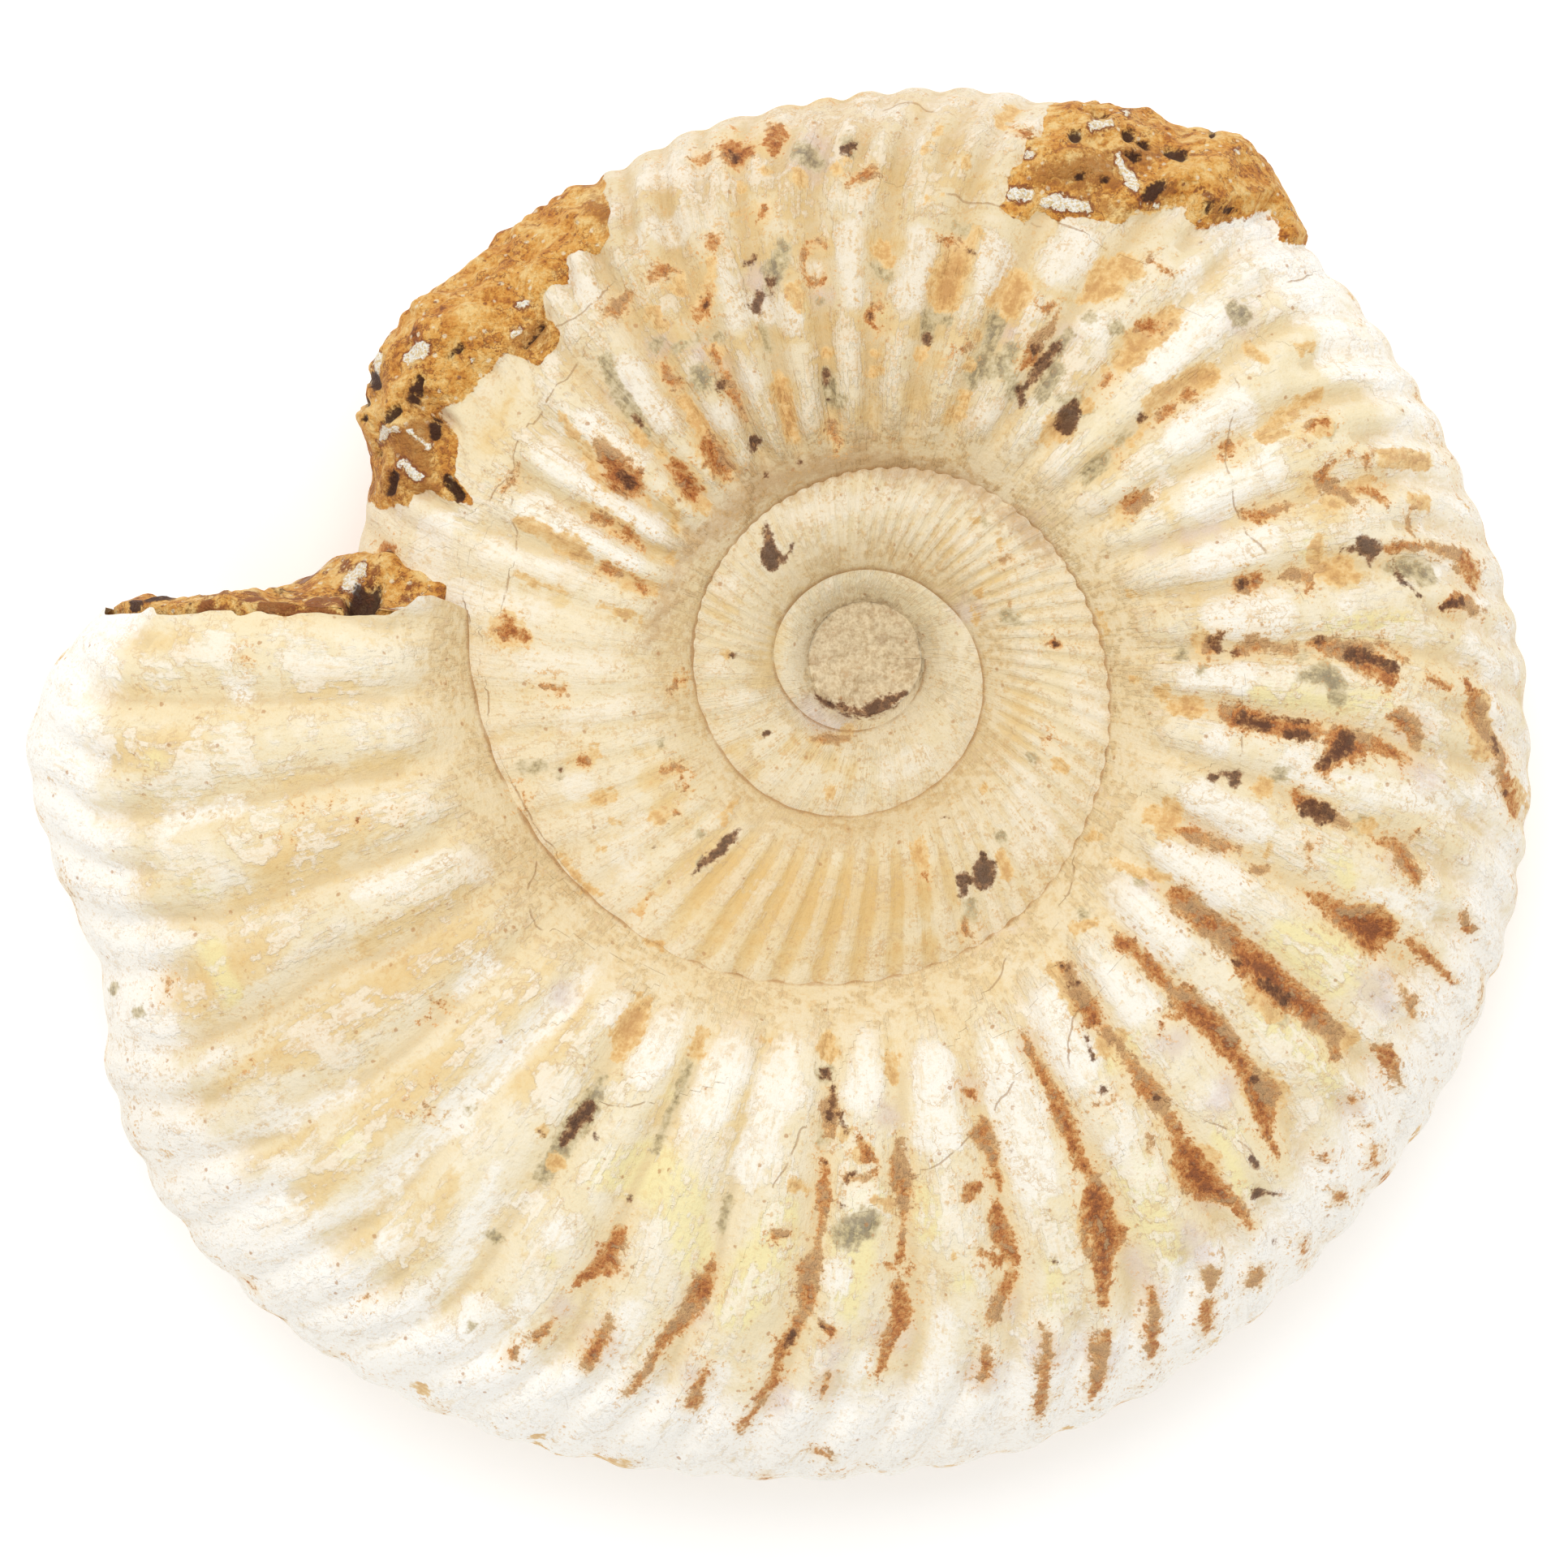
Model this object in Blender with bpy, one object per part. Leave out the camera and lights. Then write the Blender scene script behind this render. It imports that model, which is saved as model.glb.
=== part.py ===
"""Ammonite fossil lying on its side: one piece of stone, with a rib-bearing coiled shell and rock left on its rim.

The shell is a flat spiral tube. A point on it is found by its spiral angle (degrees, growing from the broken
mouth towards the older whorls), by its share of the whorl's height (0 at the umbilical seam, 1 on the rim) and
by the side of the mid-plane it is on. +X is to the right and +Y is up, as the fossil is seen from above.
"""

import math

import bmesh
import bpy
from mathutils import Vector, noise

MM = 0.001

# Coiling, in degrees of spiral angle
MOUTH = 175.5
TURN = 360.0
SECOND_WHORL = MOUTH + TURN
THIRD_WHORL = SECOND_WHORL + TURN
COIL_END = 1440.0
CORE_START = COIL_END - TURN

# The coiling axis, measured from the middle of the footprint
AXIS_X = 6.68 * MM
AXIS_Y = 10.03 * MM

# Radius of the umbilical seam: (spiral angle, mm)
SEAM_MM = [
    (165, 31.6), (180, 30.9), (210, 29.2), (240, 27.2), (270, 25.2), (300, 23.4), (330, 20.8), (360, 18.6),
    (390, 16.9), (430, 15.3), (470, 14.0), (500, 13.5), (560, 13.4), (600, 13.1), (640, 11.8), (680, 10.5),
    (720, 8.8), (760, 7.3), (800, 6.8), (840, 6.8), (895.5, 7.1), (940, 6.4), (1000, 5.3), (1060, 4.6), (1100, 4.5),
    (1440, 4.5), (1460, 4.5),
]
# Radius of the rim of the last whorl: (spiral angle, mm)
RIM_MM = [
    (165, 57.0), (175.5, 60.2), (180, 64.2), (186, 67.0), (195, 66.5), (203, 65.8), (209, 68.6), (220, 70.5),
    (232, 70.0), (246, 68.1), (262, 66.1), (280, 64.2), (297, 61.8), (315, 58.9), (330, 56.8), (345, 54.8),
    (360, 52.7), (375, 50.5), (390, 49.1), (415, 47.8), (435, 46.5), (455, 44.8), (475, 43.8), (500, 42.7),
    (525, 41.4), (535.5, 41.0), (545, 40.4),
]
COVERED_RIM = 41.0 * MM
COVERED_RIM_GROWTH = 1.77

# Whorl section
MOUTH_HALF_BREADTH = 17.1 * MM
BREADTH_GROWTH = 1.45
SHOULDER = 0.30
SHOULDER_ROUNDING = 2.3
FLANK_FULLNESS = 0.85
CORE_HEIGHT = 3.4 * MM
CORE_SINK = 0.5 * MM

# How the mid-plane leans, so that the lower flank of the last whorl lies flat along most of its length
MID_HEIGHT = 14.9 * MM
LEAN_X = -0.0342
LEAN_Y = -0.0217

# Ribs: (spiral angle, number of grooves passed)
RIB_COUNT = [(165.0, -2.1), (184.0, 0.0), (265.0, 9.0), (438.0, 27.0), (504.0, 34.0), (539.0, 38.0)]
INNER_RIB_COUNT = [(530.0, -2.0), (547.5, 0.0), (652.0, 15.0), (900.0, 65.0), (1440.0, 110.0)]
RIB_HEIGHT = 0.55 * MM
INNER_RIB_HEIGHT = 0.26 * MM
RIM_RIB_SHARE = 0.35
RIB_START = 0.05
RIB_FULL = 0.18
GROOVE_SHARPNESS = 1.5
FORK_START = 0.66
FORK_END = 0.86
# Forward sweep of a rib along the whorl's height: (share of height, degrees)
RIB_SWEEP = [(0.0, 0.0), (0.2, 0.5), (0.5, 0.0), (0.7, -0.5), (0.85, -2.0), (1.0, -5.0)]
INNER_RIB_SWEEP = -5.0
SWEEP_TAPER = 12.0

# Rock left on the rim: (spiral angle, mm it stands out past the rim), with the share of height where it begins
ROCK_PATCHES = [
    {"reach": [(399, 0), (405, 1.7), (410, 3.2), (415, 3.9), (420, 2.8), (425, 1.8), (431, 0.5), (436, 0)],
     "from_share": 0.70},
    {"reach": [(478, 0), (485, 0.5), (490, 1.4), (497, 2.7), (504, 3.9), (510, 4.4), (514, 3.2), (519, 1.2),
               (524, 0)],
     "from_share": 0.78},
]
ROCK_LIFT = 0.45
ROCK_LUMP = 1.3 * MM
ROCK_LUMP_SIZE = 4.5 * MM
# Rows of the rock in the mouth: (how far from its outer edge to its inner one, how far it stands out)
MOUTH_FILL = [(0.25, 0.9 * MM), (0.50, 1.8 * MM), (0.72, 3.9 * MM), (0.90, 5.0 * MM)]
MOUTH_LUMP = 0.7 * MM

# Mesh rows across a whorl, as shares of its height, and columns along it
SEAM_SHARES = [0.0, 0.13, 0.29, 0.46]
RIM_ROWS = 6
COLUMNS_PER_RIB = 4
FINE_COLUMNS_PER_RIB = 4
INNER_COLUMNS_PER_RIB = 2
CORE_STEP = 15.0
FINE_RIBS_END = 652.0

SHELL_COLOUR = (0.86, 0.79, 0.66, 1.0)
SHELL_ROUGHNESS = 0.75


def smooth_curve(points, x):
    """The height at x of a smooth curve through the points."""
    k = 1
    while k < len(points) - 2 and x > points[k + 1][0]:
        k += 1
    (x0, y0), (x1, y1), (x2, y2) = points[k - 1], points[k], points[k + 1]
    x3, y3 = points[min(k + 2, len(points) - 1)]
    if x < x1:
        return y0 + (y1 - y0) * (x - x0) / (x1 - x0)
    t = (x - x1) / (x2 - x1)
    slope_1 = (y2 - y0) / (x2 - x0) * (x2 - x1)
    slope_2 = (y3 - y1) / (x3 - x1) * (x2 - x1) if x3 > x2 else y2 - y1
    t2, t3 = t * t, t * t * t
    return (2 * t3 - 3 * t2 + 1) * y1 + (t3 - 2 * t2 + t) * slope_1 + (3 * t2 - 2 * t3) * y2 + (t3 - t2) * slope_2


def straight_curve(points, x):
    """The height at x of a line drawn from point to point."""
    k = 0
    while k < len(points) - 2 and x > points[k + 1][0]:
        k += 1
    (x0, y0), (x1, y1) = points[k], points[k + 1]
    return y0 + (y1 - y0) * (x - x0) / (x1 - x0)


def ease(low, high, x):
    """0 below low, 1 above high, and smooth between them."""
    t = min(1.0, max(0.0, (x - low) / (high - low)))
    return t * t * (3 - 2 * t)


def seam_radius(angle):
    return smooth_curve(SEAM_MM, angle) * MM


def rim_radius(angle):
    if angle <= SECOND_WHORL:
        return smooth_curve(RIM_MM, angle) * MM
    return COVERED_RIM * COVERED_RIM_GROWTH ** (-(angle - SECOND_WHORL) / TURN)


def half_breadth(angle):
    return MOUTH_HALF_BREADTH * BREADTH_GROWTH ** (-(angle - MOUTH) / TURN)


def seam_share(angle):
    """Where the next whorl's seam lies on the whorl at this angle."""
    seam = seam_radius(angle)
    return (seam_radius(angle - TURN) - seam) / (rim_radius(angle) - seam)


def flank_height(angle, share, seam_height):
    """Height above the mid-plane of the whorl's plain section."""
    half = half_breadth(angle)
    if share < SHOULDER:
        fall = ((SHOULDER - share) / SHOULDER) ** SHOULDER_ROUNDING
        return half - (half - seam_height) * fall
    out = min(1.0, (share - SHOULDER) / (1 - SHOULDER))
    return half * (1 - out * out) ** (FLANK_FULLNESS / 2)


def seam_height(angle):
    """Height above the mid-plane of the umbilical seam, which lies on the flank of the whorl before."""
    if angle >= CORE_START:
        return CORE_HEIGHT
    older = angle + TURN
    return flank_height(older, seam_share(older), seam_height(older))


def rib_relief(count, forked):
    """From -1 in a groove to 1 on a rib; forked runs from 0, one rib to a groove, to 1, two ribs."""
    single = math.cos(2 * math.pi * count)
    double = math.cos(4 * math.pi * count)
    wave = single + (double - single) * forked
    return 1 - 2 * ((1 + wave) / 2) ** GROOVE_SHARPNESS


def rib_height(angle, share):
    """Height of the ribs, at a point of the whorl's section."""
    if angle <= SECOND_WHORL:
        count = straight_curve(RIB_COUNT, angle - straight_curve(RIB_SWEEP, share))
        height = RIB_HEIGHT * ease(RIB_START, RIB_FULL, share) * (1 + (RIM_RIB_SHARE - 1) * ease(0.75, 1.0, share))
        return height * rib_relief(count, ease(FORK_START, FORK_END, share))
    within = share / seam_share(angle)
    count = straight_curve(INNER_RIB_COUNT, angle - INNER_RIB_SWEEP * (within - 0.5))
    fade = 1 - ease(860.0, 980.0, angle)
    return INNER_RIB_HEIGHT * fade * ease(0.03, 0.3, within) * rib_relief(count, 0.0)


def rock_cover(angle, share):
    """How far the rock stands out past the shell here."""
    cover = 0.0
    for patch in ROCK_PATCHES:
        reach = patch["reach"]
        if reach[0][0] < angle < reach[-1][0]:
            start = patch["from_share"]
            cover += smooth_curve(reach, angle) * MM * ease(start, start + 0.12, share)
    return max(0.0, cover)


def section_point(angle, share, side):
    """A point of the surface: side is 1 on the upper flank, -1 on the lower one and 0 on the rim."""
    step = 0.01
    radius_span = rim_radius(angle) - seam_radius(angle)
    radius = seam_radius(angle) + share * radius_span
    if side:
        low, high = max(0.0, share - step), min(1.0, share + step)
        own_seam = seam_height(angle)
        height = flank_height(angle, share, own_seam)
        rise = flank_height(angle, high, own_seam) - flank_height(angle, low, own_seam)
        run = (high - low) * radius_span
        length = math.hypot(rise, run)
        outward, upward = -rise / length, run / length
    else:
        height, outward, upward = 0.0, 1.0, 0.0
    ribs = rib_height(angle, share)
    rock = rock_cover(angle, share)
    bare = 1 - ease(0.3 * MM, 1.5 * MM, rock)
    radius += outward * ribs * bare + rock * max(outward, 0.0) ** 0.5
    height += upward * (ribs * bare + rock * ROCK_LIFT)
    turn = math.radians(angle)
    point = Vector((radius * math.cos(turn), radius * math.sin(turn), side * height))
    if rock > 0:
        lump = noise.noise(point / ROCK_LUMP_SIZE) * ROCK_LUMP * ease(0.0, 1.5 * MM, rock)
        point += Vector((outward * math.cos(turn), outward * math.sin(turn), side * upward)) * lump
    return point


def settle(point):
    """Moves a point from the coil's own axis and mid-plane to where the fossil lies, worn flat where it rests."""
    x, y = point.x, point.y
    z = point.z + MID_HEIGHT + LEAN_X * x + LEAN_Y * y
    return Vector((x + AXIS_X, y + AXIS_Y, max(0.0, z)))


def column_angles(counts, first, last, per_rib):
    """Angles of the mesh columns between two angles, so many to each rib, with both ends."""
    by_count = [(count, angle) for angle, count in counts]
    start = math.ceil(straight_curve(counts, first) * per_rib)
    stop = math.floor(straight_curve(counts, last) * per_rib)
    between = [straight_curve(by_count, k / per_rib) for k in range(start, stop + 1)]
    margin = 1.0
    return [first] + [a for a in between if first + margin < a < last - margin] + [last]


def even_angles(first, last, step):
    count = round((last - first) / step)
    return [first + (last - first) * k / count for k in range(count + 1)]


def sewn(mesh, lower, upper):
    """Joins two rows, each a list of (angle, vertex), with triangles."""
    i, j = 0, 0
    while i < len(lower) - 1 or j < len(upper) - 1:
        step_lower = j == len(upper) - 1
        if i < len(lower) - 1 and j < len(upper) - 1:
            step_lower = lower[i + 1][0] + lower[i][0] <= upper[j + 1][0] + upper[j][0]
        corners = [lower[i][1], upper[j][1], lower[i + 1][1] if step_lower else upper[j + 1][1]]
        if len(set(corners)) == 3:
            mesh.faces.new(corners)
        if step_lower:
            i += 1
        else:
            j += 1


def swept(angle, share, first, last):
    """The angle of a column's point at a share of the height, swept as the ribs are but straight at both ends."""
    sweep = straight_curve(RIB_SWEEP, share)
    return angle + sweep * ease(0.0, SWEEP_TAPER, angle - first) * ease(0.0, SWEEP_TAPER, last - angle)


def row_shares():
    """The shares of height of the last whorl's rows, one of which meets the mouth's seam one turn on."""
    meeting = seam_share(SECOND_WHORL)
    first_turn = math.asin((meeting - SHOULDER) / (1 - SHOULDER))
    rim_shares = []
    for k in range(RIM_ROWS + 1):
        turn = first_turn + (math.pi / 2 - first_turn) * k / RIM_ROWS
        rim_shares.append(SHOULDER + (1 - SHOULDER) * math.sin(turn))
    return SEAM_SHARES + rim_shares


def make_inner_whorls(mesh, side, shares):
    """The older whorls of one side, out to the seam of the last whorl. Returns their outer edge and start."""
    angles = column_angles(INNER_RIB_COUNT, SECOND_WHORL, FINE_RIBS_END, FINE_COLUMNS_PER_RIB)
    angles += column_angles(INNER_RIB_COUNT, FINE_RIBS_END, THIRD_WHORL, INNER_COLUMNS_PER_RIB)[1:]
    angles += even_angles(THIRD_WHORL, COIL_END, CORE_STEP)[1:]
    meeting = shares[len(SEAM_SHARES)]
    rows = []
    for share in shares[1:len(SEAM_SHARES) + 1]:
        row = []
        for angle in angles[:-1]:
            local = share / meeting * seam_share(angle)
            row.append((angle, mesh.verts.new(settle(section_point(angle, local, side)))))
        rows.append(row)
    outer = rows[-1]
    end = mesh.verts.new(settle(section_point(COIL_END, 0.0, side)))
    for row in rows:
        row.append((COIL_END, end))
    inner = [(angle - TURN, vertex) for angle, vertex in outer if angle >= THIRD_WHORL]
    core = inner[-1:]
    for angle in even_angles(CORE_START, COIL_END, CORE_STEP)[1:-1]:
        core.append((angle, mesh.verts.new(settle(section_point(angle, 0.0, side)))))
    core.append((COIL_END, end))
    inner += core[1:]
    for lower, upper in zip([inner] + rows[:-1], rows):
        sewn(mesh, lower, upper)
    make_core(mesh, side, core)
    start = [inner[0][1]] + [row[0][1] for row in rows]
    return [(angle - TURN, vertex) for angle, vertex in outer if angle <= THIRD_WHORL], start


def make_core(mesh, side, rim):
    """The sunken middle of the coil."""
    middle = mesh.verts.new(settle(Vector((0.0, 0.0, side * (CORE_HEIGHT - CORE_SINK)))))
    for (_, one), (_, other) in zip(rim, rim[1:]):
        mesh.faces.new([one, other, middle])


def make_last_whorl(mesh, side, shares, seam, start, rim):
    """One flank of the last whorl. Returns its section at the mouth and its section one turn on."""
    angles = column_angles(RIB_COUNT, MOUTH, SECOND_WHORL, COLUMNS_PER_RIB)
    rows = [seam]
    for k, share in enumerate(shares[1:-1], 1):
        row = []
        for angle in angles[:-1]:
            place = swept(angle, share, MOUTH, SECOND_WHORL)
            row.append((angle, mesh.verts.new(settle(section_point(place, share, side)))))
        if k < len(start):
            last = start[k]
        else:
            last = mesh.verts.new(settle(section_point(SECOND_WHORL, share, side)))
        row.append((SECOND_WHORL, last))
        rows.append(row)
    rows.append(rim)
    for lower, upper in zip(rows, rows[1:]):
        sewn(mesh, lower, upper)
    return [row[0][1] for row in rows], [row[-1][1] for row in rows[len(start) - 1:]]


def make_rim(mesh):
    """The row of points along the rim, which both flanks share."""
    rim = []
    for angle in column_angles(RIB_COUNT, MOUTH, SECOND_WHORL, COLUMNS_PER_RIB):
        place = swept(angle, 1.0, MOUTH, SECOND_WHORL)
        rim.append((angle, mesh.verts.new(settle(section_point(place, 1.0, 0)))))
    return rim


def make_mouth(mesh, outer, inner):
    """The broken mouth, filled with rock: a rough crescent between two sections, from seam to seam."""
    out = Vector((math.sin(math.radians(MOUTH)), -math.cos(math.radians(MOUTH)), 0.0))
    outer_row = [(k / (len(outer) - 1), vertex) for k, vertex in enumerate(outer)]
    inner_row = [(k / (len(inner) - 1), vertex) for k, vertex in enumerate(inner)]
    rows = [outer_row]
    for part, fill in MOUTH_FILL:
        row = [outer_row[0]]
        for share, vertex in outer_row[1:-1]:
            k = share * (len(inner) - 1)
            low = min(int(k), len(inner) - 2)
            across = inner[low].co.lerp(inner[low + 1].co, k - low)
            point = vertex.co.lerp(across, part)
            swell = fill * math.sin(math.pi * share)
            lump = noise.noise(point / ROCK_LUMP_SIZE) * MOUTH_LUMP
            row.append((share, mesh.verts.new(point + out * (swell + lump))))
        rows.append(row + [outer_row[-1]])
    rows.append(inner_row)
    for lower, upper in zip(rows, rows[1:]):
        sewn(mesh, lower, upper)


def stone_material():
    material = bpy.data.materials.new("fossil_stone")
    material.use_nodes = True
    shader = material.node_tree.nodes["Principled BSDF"]
    shader.inputs["Base Color"].default_value = SHELL_COLOUR
    shader.inputs["Roughness"].default_value = SHELL_ROUGHNESS
    shader.inputs["Metallic"].default_value = 0.0
    return material


def make_ammonite():
    mesh = bmesh.new()
    shares = row_shares()
    rim = make_rim(mesh)
    mouth_sections = []
    end_sections = []
    for side in (1, -1):
        seam, start = make_inner_whorls(mesh, side, shares)
        mouth, end = make_last_whorl(mesh, side, shares, seam, start, rim)
        mouth_sections.append(mouth)
        end_sections.append(end)
    outer = mouth_sections[0] + mouth_sections[1][-2::-1]
    inner = end_sections[0] + end_sections[1][-2::-1]
    make_mouth(mesh, outer, inner)
    bmesh.ops.recalc_face_normals(mesh, faces=mesh.faces[:])
    data = bpy.data.meshes.new("ammonite")
    mesh.to_mesh(data)
    mesh.free()
    data.materials.append(stone_material())
    body = bpy.data.objects.new("ammonite", data)
    bpy.context.scene.collection.objects.link(body)
    data.shade_smooth()
    data.set_sharp_from_angle(angle=math.radians(40))
    return body


def main():
    for old in list(bpy.data.objects):
        bpy.data.objects.remove(old, do_unlink=True)
    make_ammonite()


main()
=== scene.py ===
"""The looks of an ammonite fossil that lies on its side: a coiled, ribbed shell of ivory stone, iron stained.

A point of the shell is found by its spiral angle (degrees, growing from the broken mouth towards the older
whorls) and by its place across the whorl: 0 at the upper umbilical seam, 1 on the rim and 2 at the lower
seam. Lengths of features are in millimetres from the coiling axis, and their directions are plain angles,
counted from +X.
"""
import math

import bpy
import numpy as np
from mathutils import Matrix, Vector


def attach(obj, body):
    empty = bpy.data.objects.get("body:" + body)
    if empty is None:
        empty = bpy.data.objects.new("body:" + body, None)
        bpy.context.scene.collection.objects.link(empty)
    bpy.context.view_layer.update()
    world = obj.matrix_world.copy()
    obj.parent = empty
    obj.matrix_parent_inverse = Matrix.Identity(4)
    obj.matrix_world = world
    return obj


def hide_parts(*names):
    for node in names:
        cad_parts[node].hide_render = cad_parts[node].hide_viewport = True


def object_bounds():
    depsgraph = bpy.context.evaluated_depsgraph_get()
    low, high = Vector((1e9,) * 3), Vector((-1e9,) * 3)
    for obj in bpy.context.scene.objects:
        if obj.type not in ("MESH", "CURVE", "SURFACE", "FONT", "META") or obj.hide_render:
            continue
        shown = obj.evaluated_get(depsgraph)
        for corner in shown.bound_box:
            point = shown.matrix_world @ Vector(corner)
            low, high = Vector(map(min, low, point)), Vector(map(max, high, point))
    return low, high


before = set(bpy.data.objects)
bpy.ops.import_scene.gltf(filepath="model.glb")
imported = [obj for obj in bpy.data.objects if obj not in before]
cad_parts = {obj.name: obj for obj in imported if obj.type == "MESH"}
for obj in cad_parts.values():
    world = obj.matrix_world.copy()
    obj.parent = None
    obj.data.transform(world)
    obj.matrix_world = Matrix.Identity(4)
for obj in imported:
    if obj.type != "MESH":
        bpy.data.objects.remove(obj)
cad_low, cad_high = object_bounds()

MM = 0.001

# ---------------------------------------------------------------- the coil, as the solid has it

MOUTH = 175.5
TURN = 360.0
SECOND_WHORL = MOUTH + TURN
COIL_END = 1440.0
CORE_START = COIL_END - TURN
AXIS = (6.68, 10.03)
SEAM = [
    (165, 31.6), (180, 30.9), (210, 29.2), (240, 27.2), (270, 25.2), (300, 23.4), (330, 20.8), (360, 18.6),
    (390, 16.9), (430, 15.3), (470, 14.0), (500, 13.5), (560, 13.4), (600, 13.1), (640, 11.8), (680, 10.5),
    (720, 8.8), (760, 7.3), (800, 6.8), (840, 6.8), (895.5, 7.1), (940, 6.4), (1000, 5.3), (1060, 4.6),
    (1100, 4.5), (1440, 4.5), (1460, 4.5),
]
RIM = [
    (165, 57.0), (175.5, 60.2), (180, 64.2), (186, 67.0), (195, 66.5), (203, 65.8), (209, 68.6), (220, 70.5),
    (232, 70.0), (246, 68.1), (262, 66.1), (280, 64.2), (297, 61.8), (315, 58.9), (330, 56.8), (345, 54.8),
    (360, 52.7), (375, 50.5), (390, 49.1), (415, 47.8), (435, 46.5), (455, 44.8), (475, 43.8), (500, 42.7),
    (525, 41.4), (535.5, 41.0), (545, 40.4),
]
COVERED_RIM = 41.0
COVERED_RIM_GROWTH = 1.77
MOUTH_HALF_BREADTH = 17.1
BREADTH_GROWTH = 1.45
SHOULDER = 0.30
SHOULDER_ROUNDING = 2.3
FLANK_FULLNESS = 0.85
CORE_HEIGHT = 3.4
CORE_SINK = 0.5
CORE_REACH = 5.0
MID_HEIGHT = 14.9
LEAN = (-0.0342, -0.0217)
# The marks are placed as they are seen from this far above this height, in mm
SEEN_FROM = 600.0
SEEN_LEVEL = 15.0
RIB_COUNT = [(165, -2.1), (184, 0), (265, 9), (438, 27), (504, 34), (539, 38)]
INNER_RIB_COUNT = [(530, -2), (547.5, 0), (652, 15), (900, 65), (1440, 110)]
RIB_HEIGHT = 0.55
INNER_RIB_HEIGHT = 0.18
RIM_RIB_SHARE = 0.35
RIB_START = 0.05
RIB_FULL = 0.18
GROOVE_SHARPNESS = 1.5
FORK_START = 0.66
FORK_END = 0.86
RIB_SWEEP = [(0, 0), (0.2, 0.5), (0.5, 0), (0.7, -0.5), (0.85, -2), (1, -5)]
INNER_RIB_SWEEP = -5.0
INNER_RIB_STRENGTH = [
    (535, 0.6), (580, 0.5), (600, 0.9), (650, 0.9), (670, 0.6), (780, 0.6), (830, 0.45), (920, 0.4),
    (1010, 0.3), (1100, 0), (1440, 0),
]
ROCK_REACH = [
    [(399, 0), (405, 1.7), (410, 3.2), (415, 3.9), (420, 2.8), (425, 1.8), (431, 0.5), (436, 0)],
    [(478, 0), (485, 0.5), (490, 1.4), (497, 2.7), (504, 3.9), (510, 4.4), (514, 3.2), (519, 1.2), (524, 0)],
]
ROCK_FROM_SHARE = (0.70, 0.78)
ROCK_LIFT = 0.45
# Rock in the mouth: (how far from its outer edge to its inner one, mm it stands out there)
MOUTH_FILL = [(-0.2, 0), (0, 0.8), (0.25, 1.2), (0.5, 1.5), (0.75, 2.4), (0.84, 3.4), (0.92, 5.2), (1, 5.4)]
# The broken edge of the shell at the mouth: (share of the way across, degrees it is further on)
MOUTH_EDGE = [(0, 2), (0.06, 3), (0.11, 3.6), (0.15, 3.2), (0.18, 1.2), (0.21, 0), (1, 0)]

# ---------------------------------------------------------------- the fineness of the meshes

LAST_COLUMNS = 1401
UPPER_PARTS = 2
UPPER_ROWS = (26, 108)
LOWER_ROWS = (16, 44)
INNER_COLUMNS = 1300
INNER_UPPER_ROWS = 74
INNER_LOWER_ROWS = 30
CORE_SPOKES = 180
CORE_RINGS = 24
MOUTH_COLUMNS = 220
MOUTH_ROWS = 56

# ---------------------------------------------------------------- small relief, in mm: (size, height)

SWELLS = [(13.0, 0.22), (4.5, 0.14), (1.6, 0.05)]
ROCK_LUMPS = [(5.0, 1.1), (2.2, 0.55), (0.9, 0.28)]
CORE_LUMPS = [(3.0, 0.45), (1.1, 0.3), (0.5, 0.12)]
MOUTH_LUMPS = [(4.5, 0.7), (1.8, 0.4), (0.8, 0.2)]
# How raggedly the rock's edge runs over the flank, and how much more so low on the venter
ROCK_RAGGED = [(2.4, 0.3), (0.9, 0.2)]
VENTER_RAGGED = [(9.0, 2.4), (4.0, 1.1)]
# Mm from the rock's edge over which it rises, how bulky it is, and how far in its middle lies
ROCK_EDGE = (-0.25, 0.55)
ROCK_BULK = 0.45
ROCK_INSET = 0.75
SEAM_DIP = 0.25
SEAM_LAP = 0.5
CORE_EDGE = 4.5
CORE_UNEVENNESS = 0.07
CORE_LAP = 0.3
# The broken edge of the shell at the mouth: how ragged it is, in mm, and how slanted, in degrees
MOUTH_RAGGED = 0.45
MOUTH_SLANT = 1.0
# The mouth's rock, in mm: how far it runs in under the shell, lies inside it, sinks and clears the floor
MOUTH_LAP = 25.0
MOUTH_INSET = 0.3
MOUTH_SINK = 0.8
MOUTH_CLEAR = 0.15
RIB_WANDER = 0.09

# ---------------------------------------------------------------- what marks the upper flank

# Rock on the rim: outlines of (direction, mm from the axis), which run on past the rim
ROCK_OUTLINES = [
    [(41.6, 60), (41.8, 49.2), (43.2, 48.6), (44, 47.4), (45, 46.7), (46.2, 47.4), (48.4, 47.1),
    (49.5, 45.6), (50.6, 44.4), (51.5, 43), (53, 42.3), (54.6, 42.9), (55.2, 43.1), (56, 42.5),
    (57.6, 41.7), (59, 41.2), (60, 40), (62, 39.5), (65, 39), (66, 38.2), (68, 38.7), (70, 37.3),
    (71.4, 37), (73.6, 37.5), (73.2, 39.2), (73.7, 40.6), (72.6, 41.6), (72.5, 43.4), (71.6, 44),
    (71.3, 46.5), (72, 60)], [(118.4, 60), (118.6, 43.2), (119.4, 41.8), (120, 40.4), (121, 39),
    (123.4, 38.9), (125, 39.6), (126.6, 39.5), (128.2, 37.8), (129.5, 38.6), (131.5, 38.6),
    (132.9, 37.6),
    (133.1, 35.9), (134.6, 35), (138.3, 34.8), (138.6, 36), (139.2, 37.7), (143, 37.8), (147, 38),
    (150, 38.6), (151.2, 37.3), (153, 36.5), (156.2, 35.9), (157, 34.6), (158.4, 33.9), (158.9, 35.4),
    (158.4, 37.5), (159.6, 38.3), (161.4, 38.4), (162.2, 40), (165, 60)],
]
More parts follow.
